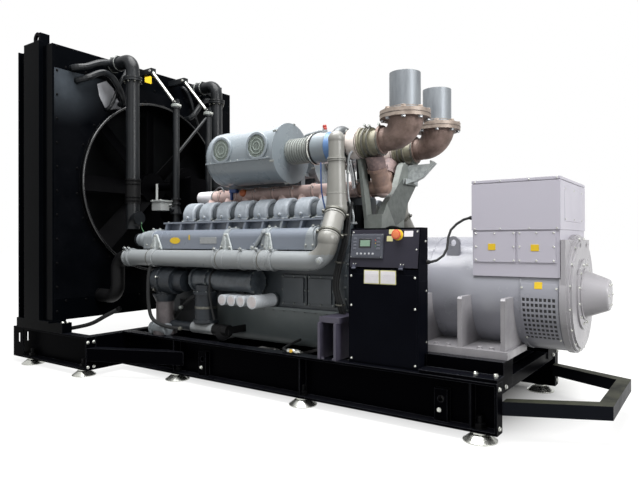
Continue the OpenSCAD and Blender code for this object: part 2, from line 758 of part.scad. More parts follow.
// Upright on the crankcase with an arm into both drums
module drum_stand(x) {
    half = 30;
    b = bank(deck_s, -head_half - 8);
    foot_z = 1240 + half * (b[1] - 1240) / -b[0];
    translate([x - 18, 0, 0]) rotate([90, 0, 90]) linear_extrude(36)
        polygon([[0, 1240], [half, foot_z], [half, 1860], [200, 1860], [200, 1890],
                 [-200, 1890], [-200, 1860], [-half, 1860], [-half, foot_z]]);
}

// Ribbed hoses from the air cleaners and the bells in front of the compressors
module air_ducts() {
    z = turbo_z - 6;
    color("#a9aba3") both_sides() {
        along_x(drum_x1 + 6, bell_x + 1, duct_r, drum_y, z);
        rings_x(drum_x1 + 24, 26, 9, 13, duct_r + 10, drum_y, z);
        cone_x(bell_x, bell_x + 60, duct_r + 14, 128, drum_y, z);
        along_x(bell_x + 59, compressor_x - 60, 128, drum_y, z);
        cone_x(compressor_x - 61, compressor_x, 128, 112, drum_y, z);
    }
}

// Oil cooler, a drum along the crankcase's side with bolted heads, and the canister under it
module oil_cooler() {
    y = -case_half - 140;
    color("#5d6263") {
        along_x(-660, 90, 92, y, 905);
        for (x = [-660, -478, 64]) along_x(x, x + 26, 106, y, 905);
        along_x(-700, -659, 70, y, 905);
        for (x = [-560, -40]) span([x, y, 860], [x + 40, -case_half, 950]);
        translate([-506, -600, 530]) cylinder(h = 330, r = 100);
        for (z = [524, 778]) translate([-506, -600, z]) cylinder(h = 24, r = 114);
    }
}

// Oil filters in a row, pointing out from the crankcase
module oil_filters() {
    color("#d8d8d2") for (p = [[-181, 46], [-75, 46], [35, 46], [160, 56]])
        translate([p[0], -case_half, 752]) rotate([90, 0, 0]) cylinder(h = 300, r = p[1]);
}

// Water pump, its suction column and the pipe along the sump
module water_pump() {
    y = -640;
    pipe = [y + 20, 470];
    color("#54595a") {
        along_x(-1095, -830, 126, y, 888);
        along_x(-1010, -985, 138, y, 888);
        along_x(-830, -710, 96, y, 888);
        translate([-950, -case_half, 888]) rotate([90, 0, 0]) cylinder(h = 120, r = 95);
        translate([-1020, y, 392]) cylinder(h = 400, r = 84);
        translate([-1020, y, 688]) cylinder(h = 70, r1 = 85, r2 = 118);
        translate([-1020, y, 380]) cylinder(h = 34, r = 112);
        along_x(-1020, -300, 40, pipe[0], pipe[1]);
        along_x(-648, -345, 50, pipe[0], pipe[1]);
        along_x(-372, -200, 52, pipe[0], pipe[1]);
        span([-230, pipe[0], 440], [-206, -400, 500]);
    }
}

// Brackets between the engine and the base
module engine_supports() {
    color("#4e5052") both_sides() {
        span([862, -rail_y + 6, rail_top], [882, -440, 650]);
        span([1004, -rail_y + 6, rail_top], [1024, -440, 650]);
        span([862, -rail_y + 30, 650], [1040, -440, 690]);
    }
}

// Welded frame of the alternator with its end ring and lifting lugs
module alternator_frame() {
    color("#afacb2") {
        along_x(alternator_x0, alternator_x1, alternator_r, 0, shaft_z);
        along_x(alternator_x0, alternator_x0 + 28, alternator_r + 22, 0, shaft_z);
        both_sides() difference() {
            union() {
                span([1680, -300, 1100], [1774, -272, 1240]);
                translate([1727, -272, 1240]) rotate([90, 0, 0]) cylinder(h = 28, r = 47);
            }
            translate([1727, -200, 1240]) rotate([90, 0, 0]) cylinder(h = 200, r = 24);
        }
    }
}

// Feet of the alternator with their upright webs
module alternator_feet() {
    color("#afacb2") both_sides() difference() {
        union() {
            span([1500, -alternator_foot_y, alternator_foot_z], [2206, -150, alternator_foot_z + 50]);
            for (x = [1576, 1866, 2156]) translate([x, 0, 0]) rotate([90, 0, 90]) linear_extrude(30)
                polygon([[-alternator_foot_y + 15, alternator_foot_z + 40], [-alternator_foot_y + 15, 864],
                         [-alternator_foot_y + 27, 878], [-300, 878], [-150, alternator_foot_z + 40]]);
        }
        along_x(1000, 3000, alternator_r, 0, shaft_z);
    }
}

// Stepped shield at the alternator's free end, with square shoulders beside the terminal box
module alternator_end_shield() {
    color("#b9b7b8") {
        along_x(alternator_x1, 2515, alternator_r + 10, 0, shaft_z);
        span([box_x1, -box_y + 2, shaft_z], [2512, box_y - 2, 1258]);
        along_x(2515, 2532, alternator_r - 2, 0, shaft_z);
        along_x(2532, 2545, alternator_r - 26, 0, shaft_z);
        along_x(2545, shield_x1, 240, 0, shaft_z);
    }
}

// Curved sheets with square air holes, low on both sides of the frame
module inlet_grilles() {
    color("#8d8b90") both_sides() difference() {
        intersection() {
            along_x(2232, 2468, alternator_r + 6, 0, shaft_z);
            translate([2232, 0, shaft_z]) rotate([90, 0, 90]) linear_extrude(236)
                polygon([[0, 0], [-600, 128], for (a = [192, 220, 234]) 600 * [cos(a), sin(a)]]);
        }
        along_x(1000, 3000, alternator_r, 0, shaft_z);
        for (row = [0:8], column = [0:7])
            translate([2243 + column * 27, 0, shaft_z]) rotate([3 + row * 5.2, 0, 0])
                span([0, -alternator_r - 20, -11], [18, -alternator_r + 20, 11]);
    }
}

// Cone over the exciter
module exciter_cover() {
    color("#b9b7b8") {
        cone_x(shield_x1, 2704, 163, 106, 0, shaft_z);
        cone_x(2704, 2712, 106, 98, 0, shaft_z);
    }
}

// Terminal box saddled on the alternator, a lid above a lower part with two cover plates
module terminal_box() {
    seam_z = 1325;
    color("#b0aeb8") difference() {
        union() {
            span([box_x0, -box_y, seam_z], [box_x1, box_y, box_z1 - 24]);
            span([box_x0 + 5, -box_y + 5, box_z1 - 25], [box_x1 - 5, box_y - 5, box_z1 - 17]);
            span([box_x0, -box_y, box_z1 - 18], [box_x1, box_y, box_z1]);
            span([box_x0 + 5, -box_y + 9, box_z0], [box_x1 - 5, box_y - 9, seam_z + 1]);
            both_sides() for (x = [[box_x0 + 16, 2200], [2214, box_x1 - 30]])
                span([x[0], -box_y + 3, box_z0 + 96], [x[1], -box_y + 10, seam_z - 10]);
        }
        along_x(1000, alternator_x1, alternator_r, 0, shaft_z);
        along_x(alternator_x1, 2515, alternator_r + 10, 0, shaft_z);
    }
}

// Side outline of the cabinet, as [y, z]
function cabinet_outline(t) = [
    [-cabinet_y + t, cabinet_z0 + t],
    [-cabinet_y + t, slope_z0],
    [-cabinet_y + cabinet_lean + t, cabinet_z1 - t],
    [-cabinet_y + cabinet_depth - t, cabinet_z1 - t],
    [-cabinet_y + cabinet_depth - t, cabinet_z0 + t]];

// Sheet metal cabinet, open behind the sloping door
module control_cabinet() {
    color("#141516") {
        difference() {
            translate([cabinet_x0, 0, 0]) rotate([90, 0, 90])
                linear_extrude(cabinet_x1 - cabinet_x0) polygon(cabinet_outline(0));
            translate([cabinet_x0 + sheet, 0, 0]) rotate([90, 0, 90])
                linear_extrude(cabinet_x1 - cabinet_x0 - 2 * sheet) polygon(cabinet_outline(sheet));
            span([cabinet_x0 + sheet, -cabinet_y - 50, slope_z0],
                 [cabinet_x1 - sheet, -cabinet_y + cabinet_lean + 20, cabinet_z1 - sheet]);
        }
        for (x = hinge_places, side = [-1, 1]) translate([x + side * 22 - 3, 0, 0])
            rotate([90, 0, 90]) linear_extrude(6) polygon([[-cabinet_y, slope_z0 - 26],
                [-cabinet_y, slope_z0], [hinge_y - 7, hinge_z + 7], [hinge_y - 7, hinge_z - 7]]);
        for (x = hinge_places) along_x(x - 25, x + 25, pin_r, hinge_y, hinge_z);
    }
}

// A child drawn flat on the sloping face: X across, Y up the slope, Z out of the face
module on_slope() {
    translate([cabinet_x0, -cabinet_y, slope_z0]) rotate([90 - lean_angle, 0, 0]) children();
}

// Sloping door with its hinge leaves
module instrument_door() {
    w = cabinet_x1 - cabinet_x0;
    color("#18191b") difference() {
        union() {
            on_slope() translate([sheet + door_gap, 12, -3])
                cube([w - 2 * (sheet + door_gap), 268, 3]);
            for (x = hinge_places) {
                along_x(x - 17, x + 17, 7, hinge_y, hinge_z);
                span([x - 15, hinge_y - 2, hinge_z + 5], [x + 15, hinge_y + 2, hinge_z + 26]);
                span([x - 15, hinge_y, hinge_z + 10], [x + 15, -cabinet_y + 5, hinge_z + 26]);
            }
        }
        for (x = hinge_places) along_x(x - 30, x + 30, pin_r + 0.4, hinge_y, hinge_z);
    }
}

// Controller set in the door
module engine_controller() {
    color("#3b3d40") on_slope() {
        translate([14, 75, 0]) cube([262, 174, 10]);
        translate([18, 79, 9]) cube([254, 166, 5]);
    }
}

// Mushroom head of the emergency stop
module stop_button() {
    color("#d8442c") on_slope() translate([385, 240, 0]) {
        cylinder(h = 20, r = 15);
        translate([0, 0, 20]) cylinder(h = 8, r1 = 22, r2 = 32);
        translate([0, 0, 28]) cylinder(h = 10, r = 32);
    }
}

// Control cable from the terminal box to the cabinet
module control_cable() {
    color("#101112") cable([[1903, -380, 1413], [1880, -380, 1413], [1840, -384, 1402], [1795, -400, 1372],
        [1762, -425, 1330], [1752, -450, 1276], [1762, -495, 1200], [1750, -530, 1152], [1722, -575, 1120],
        [1690, -610, 1108], [1663, -610, 1108]], 9);
}

// A smooth curve through the given points
function eased(p, steps = 2) = concat([for (i = [0:len(p) - 2], k = [0:steps - 1])
    let (a = p[max(i - 1, 0)], b = p[i], c = p[i + 1], d = p[min(i + 2, len(p) - 1)], t = k / steps)
    (2 * b + (c - a) * t + (2 * a - 5 * b + 4 * c - d) * t * t + (3 * b - a - 3 * c + d) * t * t * t) / 2],
    [p[len(p) - 1]]);

// A smooth hose from one face to another, leaving both squarely
module hose(start, route, end, r) {
    cable([start, each eased(route), end], r, 10);
}

// A round cable swept through the given points
module cable(points, r, sides = 8) {
    n = len(points);
    function dir(i) = let (a = points[max(i - 1, 0)], b = points[min(i + 1, n - 1)]) (b - a) / norm(b - a);
    function ring(i) = let (d = dir(i), s = cross(d, [0, 0, 1]), e = s / norm(s), f = cross(e, d))
        [for (k = [0:sides - 1]) points[i] + r * (cos(360 * k / sides) * f + sin(360 * k / sides) * e)];
    polyhedron(points = [for (i = [0:n - 1]) each ring(i)],
        faces = concat([[for (k = [0:sides - 1]) k]],
            [for (i = [0:n - 2], k = [0:sides - 1]) let (a = i * sides, b = a + sides, m = (k + 1) % sides)
                each [[a + k, b + k, b + m], [a + k, b + m, a + m]]],
            [[for (k = [sides - 1:-1:0]) (n - 1) * sides + k]]));
}

base_rails();
base_cross_members();
outriggers();
end_frame();
isolator_feet();
radiator_frames();
radiator_core();
radiator_tanks();
fan_shroud();
fan();
fan_drive();
radiator_stays();
coolant_pipes();
charge_air_hoses();
sump();
crankcase();
crankcase_doors();
gear_case();
flywheel_housing();
cylinder_heads();
rocker_covers();
charge_air_manifolds();
charge_air_pipes();
exhaust_manifolds();
turbochargers();
exhaust_elbows();
exhaust_stubs();
turbo_stand();
air_cleaners();
air_ducts();
oil_cooler();
oil_filters();
water_pump();
engine_supports();
alternator_frame();
alternator_feet();
alternator_end_shield();
inlet_grilles();
exciter_cover();
terminal_box();
control_cabinet();
instrument_door();
engine_controller();
stop_button();
control_cable();
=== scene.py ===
"""Looks of an open diesel generator set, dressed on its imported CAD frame."""
import logging
import math
from collections.abc import Callable, Iterable, Sequence
from dataclasses import dataclass
from enum import Enum

import bmesh
import bpy
from mathutils import Matrix, Vector


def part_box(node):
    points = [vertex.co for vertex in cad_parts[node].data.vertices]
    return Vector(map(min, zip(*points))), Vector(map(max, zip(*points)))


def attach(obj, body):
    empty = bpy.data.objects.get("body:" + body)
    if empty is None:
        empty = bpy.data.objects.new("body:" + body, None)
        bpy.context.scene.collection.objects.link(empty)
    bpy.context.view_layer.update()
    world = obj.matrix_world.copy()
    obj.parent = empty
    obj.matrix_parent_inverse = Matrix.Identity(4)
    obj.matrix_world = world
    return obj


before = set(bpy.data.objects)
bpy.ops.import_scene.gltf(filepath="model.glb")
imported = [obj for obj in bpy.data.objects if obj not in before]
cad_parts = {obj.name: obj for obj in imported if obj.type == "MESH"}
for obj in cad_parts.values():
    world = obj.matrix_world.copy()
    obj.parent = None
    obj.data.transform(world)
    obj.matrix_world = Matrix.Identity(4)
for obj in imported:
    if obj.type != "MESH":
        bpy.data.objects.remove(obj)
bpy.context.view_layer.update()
LOG = logging.getLogger("generator")
MM = 0.001
SHARP = math.radians(35)
Point = Vector | tuple[float, float, float]
Outline = Sequence[tuple[float, float]]
X, Y, Z = Vector((1, 0, 0)), Vector((0, 1, 0)), Vector((0, 0, 1))
SIDES = (-1, 1)
WHITE = (1, 1, 1, 1)


class Body(Enum):
    """Names of the moving bodies."""

    SET = "generator_set"
    DOOR = "instrument_panel"


# ---------------------------------------------------------------- finishes


def linear(code: str) -> tuple[float, float, float, float]:
    """Turns an sRGB hex colour into a linear one.

    Args:
        code: Six hex digits after a hash sign.

    Returns:
        Red, green, blue and alpha, linear.
    """
    parts = [int(code[i : i + 2], 16) / 255 for i in (1, 3, 5)]
    low = [c / 12.92 if c <= 0.04045 else ((c + 0.055) / 1.055) ** 2.4 for c in parts]
    return (low[0], low[1], low[2], 1.0)


def add(tree: bpy.types.NodeTree, kind: str, links: dict | None = None, **settings: object) -> bpy.types.Node:
    """Adds a node with its settings and links.

    Args:
        tree: The tree that takes the node.
        kind: Node type without the ShaderNode prefix.
        links: Input name or index to the socket that feeds it, or to a node whose first output does.
        **settings: Node attributes, or values of inputs with spaces written as underscores.

    Returns:
        The new node.
    """
    node = tree.nodes.new("ShaderNode" + kind)
    for key, value in settings.items():
        if hasattr(node, key):
            setattr(node, key, value)
        else:
            node.inputs[key.replace("_", " ")].default_value = value
    for key, source in (links or {}).items():
        socket = source.outputs[0] if isinstance(source, bpy.types.Node) else source
        tree.links.new(socket, node.inputs[key])
    return node


@dataclass(frozen=True)
class Mottle:
    """Broad uneven patches of a second colour, this many millimetres across."""

    colour: str
    mm: float = 300.0
    amount: float = 0.3


@dataclass(frozen=True)
class Grain:
    """Fine bumps of the surface: how far apart and how deep, in millimetres."""

    mm: float
    depth_mm: float


@dataclass(frozen=True)
class Edge:
    """Outer edges lightened, this many millimetres wide: rubbed wear on most finishes, a painted highlight
    along the base's flanges.
    """

    colour: str
    amount: float
    mm: float = 3.0


@dataclass(frozen=True)
class DustAndTopLight:
    """A colour laid on surfaces that face up: a dusting on the base, a painted highlight on the drums, and a
    dusting with painted shade on the terminal box and end shield.
    """

    colour: str
    amount: float


@dataclass(frozen=True)
class ReflectionPatch:
    """A painted reflection: a paler patch round one place, in millimetres."""

    colour: str
    at: Point
    mm: float


@dataclass(frozen=True)
class Finish:
    """A surface finish: what the real coating or metal is and how it is made.

    Scales are real sizes in millimetres. A pattern finer than a render can show is drawn coarser.
    The spread is how far the roughness strays, the coat is a clear one on top, and the streak
    stretches the mottle along Z.
    """

    name: str
    colour: str
    roughness: float
    mottle: Mottle
    grain: Grain | None = None
    edge: Edge | None = None
    dust_and_top_light: DustAndTopLight | None = None
    reflection_patch: ReflectionPatch | None = None
    metallic: float = 0.0
    specular: float = 0.5
    rough_spread: float = 0.08
    coat: float = 0.0
    streak: float = 1.0

    def material(self) -> bpy.types.Material:
        """Makes this finish's material once.

        Returns:
            The material.
        """
        if self.name in bpy.data.materials:
            return bpy.data.materials[self.name]
        made = bpy.data.materials.new(self.name)
        made.use_nodes = True
        made.diffuse_color = linear(self.colour)
        tree = made.node_tree
        tree.nodes.clear()
        shader = add(tree, "BsdfPrincipled", Metallic=self.metallic, Specular_IOR_Level=self.specular,
                     Coat_Weight=self.coat, Coat_Roughness=0.12)
        add(tree, "OutputMaterial", {"Surface": shader})
        self.wire(tree, shader)
        return made

    def wire(self, tree: bpy.types.NodeTree, shader: bpy.types.Node) -> None:
        """Feeds the shader's colour, roughness and normal.

        Args:
            tree: The material's tree.
            shader: Its principled shader.
        """
        place = add(tree, "TexCoord").outputs["Object"]
        stretched = add(tree, "Mapping", {"Vector": place}, Scale=(1.0, 1.0, 1.0 / self.streak)).outputs[0]
        broad = add(tree, "TexNoise", {"Vector": stretched}, Scale=1000 / self.mottle.mm, Detail=5.0,
                    Roughness=0.62)
        soft = add(tree, "MapRange", {"Value": broad.outputs["Fac"]}, From_Min=0.38, From_Max=0.66,
                   To_Max=self.mottle.amount)
        colour = add(tree, "MixRGB", {"Fac": soft}, Color1=linear(self.colour),
                     Color2=linear(self.mottle.colour)).outputs[0]
        bevel = add(tree, "Bevel", Radius=(self.edge.mm if self.edge else Edge.mm) * MM, samples=3)
        if self.edge:
            colour = self.worn_and_lit_edges(tree, colour, bevel, broad)
        if self.dust_and_top_light:
            colour = self.dusted_and_top_lit(tree, colour, broad)
        if self.reflection_patch:
            colour = self.paint_reflection_round(tree, colour, place, soft)
        rough = add(tree, "MapRange", {"Value": broad.outputs["Fac"]}, From_Min=0.3, From_Max=0.7,
                    To_Min=max(0.03, self.roughness - self.rough_spread),
                    To_Max=min(1.0, self.roughness + self.rough_spread))
        tree.links.new(colour, shader.inputs["Base Color"])
        tree.links.new(rough.outputs[0], shader.inputs["Roughness"])
        normal = bevel.outputs[0]
        if self.grain:
            fine = add(tree, "TexNoise", {"Vector": place}, Scale=1000 / self.grain.mm, Detail=3.0,
                       Roughness=0.6)
            normal = add(tree, "Bump", {"Height": fine.outputs["Fac"], "Normal": normal}, Strength=1.0,
                         Distance=self.grain.depth_mm * MM).outputs[0]
        tree.links.new(normal, shader.inputs["Normal"])

    def worn_and_lit_edges(self, tree: bpy.types.NodeTree, colour: bpy.types.NodeSocket, bevel: bpy.types.Node,
             broad: bpy.types.Node) -> bpy.types.NodeSocket:
        """Lightens the outer edges: where handling rubs the coat thin, and as a painted highlight along the
        base's flanges.

        Args:
            tree: The material's tree.
            colour: The colour so far.
            bevel: The node that rounds the normal over edges.
            broad: The broad noise that breaks the wear up.

        Returns:
            The new colour.
        """
        shape = add(tree, "NewGeometry")
        dot = add(tree, "VectorMath", {0: shape.outputs["Normal"], 1: bevel.outputs[0]},
                  operation="DOT_PRODUCT")
        edge = add(tree, "MapRange", {"Value": dot.outputs["Value"]}, From_Min=0.99, From_Max=0.8,
                   To_Max=self.edge.amount)
        broken = add(tree, "Math", {0: edge, 1: broad.outputs["Fac"]}, operation="MULTIPLY")
        return add(tree, "MixRGB", {"Fac": broken, "Color1": colour},
                   Color2=linear(self.edge.colour)).outputs[0]

    def dusted_and_top_lit(self, tree: bpy.types.NodeTree, colour: bpy.types.NodeSocket,
               broad: bpy.types.Node) -> bpy.types.NodeSocket:
        """Lays a colour on surfaces that face up: a dusting on some finishes, painted light on others.

        Args:
            tree: The material's tree.
            colour: The colour so far.
            broad: The broad noise that makes the layer patchy.

        Returns:
            The new colour.
        """
        up = add(tree, "SeparateXYZ", {0: add(tree, "NewGeometry").outputs["Normal"]})
        flat = add(tree, "MapRange", {"Value": up.outputs["Z"]}, From_Min=0.55, From_Max=0.98,
                   To_Max=self.dust_and_top_light.amount)
        patchy = add(tree, "Math", {0: flat, 1: broad.outputs["Fac"]}, operation="MULTIPLY")
        return add(tree, "MixRGB", {"Fac": patchy, "Color1": colour},
                   Color2=linear(self.dust_and_top_light.colour)).outputs[0]

    def paint_reflection_round(self, tree: bpy.types.NodeTree, colour: bpy.types.NodeSocket, place: bpy.types.NodeSocket,
              soft: bpy.types.Node) -> bpy.types.NodeSocket:
        """Paints a paler patch round one place, as a painted reflection.

        Args:
            tree: The material's tree.
            colour: The colour so far.
            place: Where each point lies.
            soft: The mottle that breaks the painted reflection up.

        Returns:
            The new colour.
        """
        away = add(tree, "VectorMath", {0: place}, operation="DISTANCE")
        away.inputs[1].default_value = Vector(self.reflection_patch.at) * MM
        patch_strength = add(tree, "MapRange", {"Value": away.outputs["Value"]}, From_Max=self.reflection_patch.mm * MM, To_Min=0.8,
                   To_Max=0.0, interpolation_type="SMOOTHSTEP")
        broken = add(tree, "MapRange", {"Value": soft}, To_Min=1.0, To_Max=0.3)
        thin = add(tree, "Math", {0: patch_strength, 1: broken}, operation="MULTIPLY")
        return add(tree, "MixRGB", {"Fac": thin, "Color1": colour},
                   Color2=linear(self.reflection_patch.colour)).outputs[0]


# Satin alkyd enamel sprayed on hot rolled sections: near black, soft sheen, dusty on the flanges, with a
# painted highlight along their edges.
BASE_PAINT = Finish("satin_enamel_on_rolled_steel", "#020204", 0.34, Mottle("#050507", 420), Grain(14, 0.25),
                    Edge("#6A6C72", 0.6, 7), DustAndTopLight("#1C1D22", 0.6), specular=0.006)
# The same enamel on the rails' tops, rubbed glossy by boots and slings, painted a paler blue black as a
# painted reflection, with a painted highlight along the edges.
TREAD_PAINT = Finish("glossy_enamel_with_painted_sheen_on_rail_tops", "#0B0C11", 0.22, Mottle("#14151B", 300), Grain(30, 0.2),
                     Edge("#6A6C72", 0.7, 7), specular=0.16)
# Gloss black enamel on folded sheet: deep black with soft wavy reflections.
RADIATOR_PAINT = Finish("gloss_enamel_on_folded_sheet", "#030406", 0.22, Mottle("#080A0D", 600),
                        Grain(60, 0.5), Edge("#32343A", 0.4), specular=0.014)
# The same enamel on the shroud, with a painted reflection: a pale grey patch in its upper corner.
SHROUD_PAINT = Finish("enamel_with_painted_reflection_on_folded_sheet", "#040507", 0.22, Mottle("#0A0B0E", 260, 0.5),
                      Grain(60, 0.5), Edge("#32343A", 0.4),
                      reflection_patch=ReflectionPatch("#474D53", (-1968.0, -1090.0, 2890.0), 520.0), specular=0.02)
# Engine enamel over sand castings: pale grey, speckled by the grit of the mould.
CAST_PAINT = Finish("enamel_on_sand_cast_iron", "#8C9296", 0.5, Mottle("#747A7F", 70, 0.55), Grain(9, 0.9),
                    Edge("#B4B9BD", 0.3))
# Engine enamel over drawn tube and sheet: smooth and even.
TUBE_PAINT = Finish("enamel_on_drawn_tube", "#888C8E", 0.32, Mottle("#7C8082", 260), Grain(22, 0.12),
                    Edge("#B9BDC0", 0.3))
# The same enamel on the risers, yellowed by the turbochargers' heat.
WARM_PAINT = Finish("heat_yellowed_enamel", "#868580", 0.34, Mottle("#7A7A75", 180, 0.6), Grain(22, 0.12),
                    Edge("#BDBAAE", 0.3))
# Darker engine enamel on the machined block and pressed sump.
BLOCK_PAINT = Finish("dark_enamel_on_machined_iron", "#3D4348", 0.46, Mottle("#31373B", 180, 0.5),
                     Grain(12, 0.4), Edge("#6B7171", 0.35))
# The same enamel on the pressed sump, greener, and paler than the block as painted light bounced up from the
# floor.
SUMP_PAINT = Finish("dark_enamel_on_pressed_sump", "#6A7273", 0.4, Mottle("#5B6466", 220, 0.5),
                    Grain(14, 0.3), Edge("#6F7678", 0.35))
# Uncoated iron browned by exhaust heat, with pale scale and darker scorch.
HEATED_IRON = Finish("heat_browned_iron", "#67564E", 0.6, Mottle("#947F77", 80, 0.8), Grain(8, 0.7),
                     Edge("#A08D7C", 0.6), metallic=0.35, rough_spread=0.14)
# Welded tube with mill scale: blue grey with faint runs along its length.
MILL_STEEL = Finish("mill_scale_on_welded_tube", "#6F7479", 0.46, Mottle("#8B9094", 60, 0.6), Grain(10, 0.15),
                    metallic=0.45, streak=5.0)
# Heat paint on iron, a terracotta painted pale as painted light where the drums shade the manifolds.
MANIFOLD_PAINT = Finish("heat_paint_on_iron", "#E0C8C2", 0.6, Mottle("#C3A39B", 90, 0.6), Grain(9, 0.6))
# The same paint burnt violet brown on the risers, and to orange tan at their elbows.
RISER_PAINT = Finish("burnt_heat_paint", "#6C5C5C", 0.6, Mottle("#9A847F", 34, 0.8), Grain(9, 0.8))
RISER_TAN = Finish("toasted_heat_paint", "#957B6E", 0.6, Mottle("#6E5D5A", 52, 0.7), Grain(9, 0.8))
# Bright zinc plating, passivated: pale with faint yellow and blue.
ZINC = Finish("zinc_plated_steel", "#C4C5BE", 0.28, Mottle("#A9ABA9", 40, 0.5), metallic=0.9,
              rough_spread=0.12)
# Baked enamel on the alternator's welded frame: warm light grey with a soft gloss.
ALTERNATOR_PAINT = Finish("baked_enamel_on_welded_frame", "#96979F", 0.25, Mottle("#8A8B93", 350),
                          Grain(40, 0.3), Edge("#D2D0D4", 0.3))
# The same enamel on the feet, a little darker as painted shade: blotchy and less glossy.
FOOT_PAINT = Finish("enamel_with_painted_shade_on_feet", "#8E8C8F", 0.36, Mottle("#7F7D81", 120, 0.6), Grain(20, 0.3),
                    Edge("#A5A5AA", 0.4))
# The same enamel on folded sheet: a touch more violet, and darker on top as a dusting and as painted shade
# against the top lamp.
BOX_PAINT = Finish("baked_enamel_on_folded_sheet", "#BAB7C2", 0.36, Mottle("#B2AFBA", 500), Grain(60, 0.25),
                   Edge("#D8D6DE", 0.3), DustAndTopLight("#6C6A6C", 1.7))
# Fine textured powder coat: black with a dry broken sheen.
POWDER_COAT = Finish("black_powder_coat", "#06070D", 0.42, Mottle("#0C0E14", 240), Grain(5, 0.12),
                     Edge("#3A3D44", 0.4), specular=0.02)
# The door's powder coat, paler where the sloping face takes the light.
DOOR_COAT = Finish("blue_black_powder_coat", "#2D2C35", 0.4, Mottle("#34333D", 160), Grain(5, 0.12),
                   Edge("#4C4B55", 0.4), specular=0.15)
# White lacquer on deep drawn filter cans: clean, with long soft highlights.
FILTER_PAINT = Finish("lacquer_on_drawn_steel", "#CCD1D6", 0.3, Mottle("#BFC2C6", 90, 0.4))
# Blackened steel of the door's hinges: dark, with a bluish metal sheen.
HINGE_STEEL = Finish("blackened_hinge_steel", "#3A3C4A", 0.42, Mottle("#4C4E5C", 20), metallic=0.4)
# Moulded polycarbonate body of the controller: dark grey with a fine grain.
CONTROLLER_FACE = Finish("moulded_polycarbonate", "#464952", 0.42, Mottle("#50535C", 60), Grain(3, 0.05))
# Moulded glossy nylon of the stop button: bright red orange.
STOP_NYLON = Finish("moulded_nylon_red", "#D6402A", 0.28, Mottle("#C23A26", 30), coat=0.3)
# Carbon black rubber, dry and matt.
RUBBER = Finish("carbon_black_rubber", "#141516", 0.7, Mottle("#1F2021", 60), Grain(5, 0.15), specular=0.3)
# Black enamel on steel coolant pipe: satin, with a broad soft highlight.
PIPE_PAINT = Finish("enamel_on_welded_pipe", "#101214", 0.36, Mottle("#1D2023", 150, 0.5), Grain(16, 0.15),
                    specular=0.22)
# Black dipped fins: rows of thin plates, matt and almost without highlights.
FIN_BLOCK = Finish("dip_painted_fins", "#060708", 0.7, Mottle("#0E0F11", 80), specular=0.05)
# Black enamel on folded blades and cast hubs, greyed by dust along their edges.
FAN_PAINT = Finish("enamel_on_pressed_blades", "#020203", 0.5, Mottle("#050506", 200),
                   edge=Edge("#111214", 0.3), specular=0.02)
# Turned bare steel: bright, with fine tool rings blurred into a soft sheen.
MACHINED = Finish("turned_steel", "#9C9EA0", 0.3, Mottle("#85878A", 30), metallic=0.9, rough_spread=0.1)
# Light grey enamel on a folded sheet housing: flat and even.
SENSOR_GREY = Finish("enamel_on_sensor_housing", "#A4A7A5", 0.45, Mottle("#93969A", 120))
# Darker enamel on rough sand castings between the engine and the alternator.
CASTING_GREY = Finish("enamel_on_rough_casting", "#7E837F", 0.55, Mottle("#6B706D", 60, 0.6), Grain(9, 0.9),
                      Edge("#A6AAA5", 0.3))
# Black enamel over steel screws, nuts and clamps: small dark heads with a soft glint.
BLACK_BOLT = Finish("black_enamel_on_screws", "#060607", 0.4, Mottle("#0D0E0F", 15), specular=0.04)
# Engine enamel over die cast hoods: pale grey, speckled by the grit of the mould.
COVER_PAINT = Finish("enamel_on_cast_hoods", "#A1A8AF", 0.46, Mottle("#798088", 42, 0.6), Grain(10, 0.9),
                     Edge("#C9CCCB", 0.3))
# Engine enamel sprayed on the welded charge air boxes: bluer and smoother than on the castings.
BOX_CASTING = Finish("enamel_on_charge_air_boxes", "#757C87", 0.32, Mottle("#6A717B", 300), Grain(30, 0.15),
                     Edge("#C2C4C1", 0.3))
# Blue grey enamel over the cooler's drawn shell: dark, with pale patches as painted highlights.
COOLER_PAINT = Finish("enamel_on_cooler_shell", "#363B41", 0.38, Mottle("#5E666D", 70, 0.6), Grain(12, 0.5),
                      Edge("#7B8084", 0.35))
# Dark enamel over the pump's rough castings: painted almost black as painted shade under the pipes, with
# light edges.
PUMP_PAINT = Finish("enamel_on_pump_casting", "#191D22", 0.44, Mottle("#2E343A", 50, 0.5), Grain(9, 0.8),
                    Edge("#7F8484", 0.5), specular=0.3)
# The same enamel on the pump's column, where brown primer shows through.
PUMP_PRIMER = Finish("primer_through_enamel", "#554F50", 0.5, Mottle("#3F3B3D", 46, 0.7), Grain(9, 0.8),
                     Edge("#7F8484", 0.4))
# Zinc plating gone dull under a mist of paint: grey heads that hardly shine.
ZINC_DULL = Finish("dull_zinc_on_screws", "#8F928F", 0.42, Mottle("#7A7D7B", 15), metallic=0.7)
# Enamel on the welded engine brackets: mid grey, chipped along its edges.
SUPPORT_GREY = Finish("enamel_on_welded_bracket", "#3C3946", 0.45, Mottle("#4B4856", 90, 0.6), Grain(12, 0.3),
                      Edge("#7C7A82", 0.5))
# Gloss enamel on the shroud's rolled ring, which catches the light along its crown.
RING_PAINT = Finish("gloss_enamel_on_rolled_ring", "#050607", 0.24, Mottle("#0C0D0F", 200), specular=0.5)
# Plated band clamps, gone brown grey with heat: low, blotched sheen.
CLAMP_STEEL = Finish("heat_dulled_band_steel", "#55554F", 0.42, Mottle("#6B6A62", 30, 0.6), metallic=0.5)
# Engine enamel on the turbo stand's web, soiled by oil mist: darker and duller.
LEG_PAINT = Finish("soiled_enamel_on_casting", "#585D5A", 0.55, Mottle("#474C4A", 60, 0.6), Grain(9, 0.9),
                   Edge("#9AA09A", 0.4))
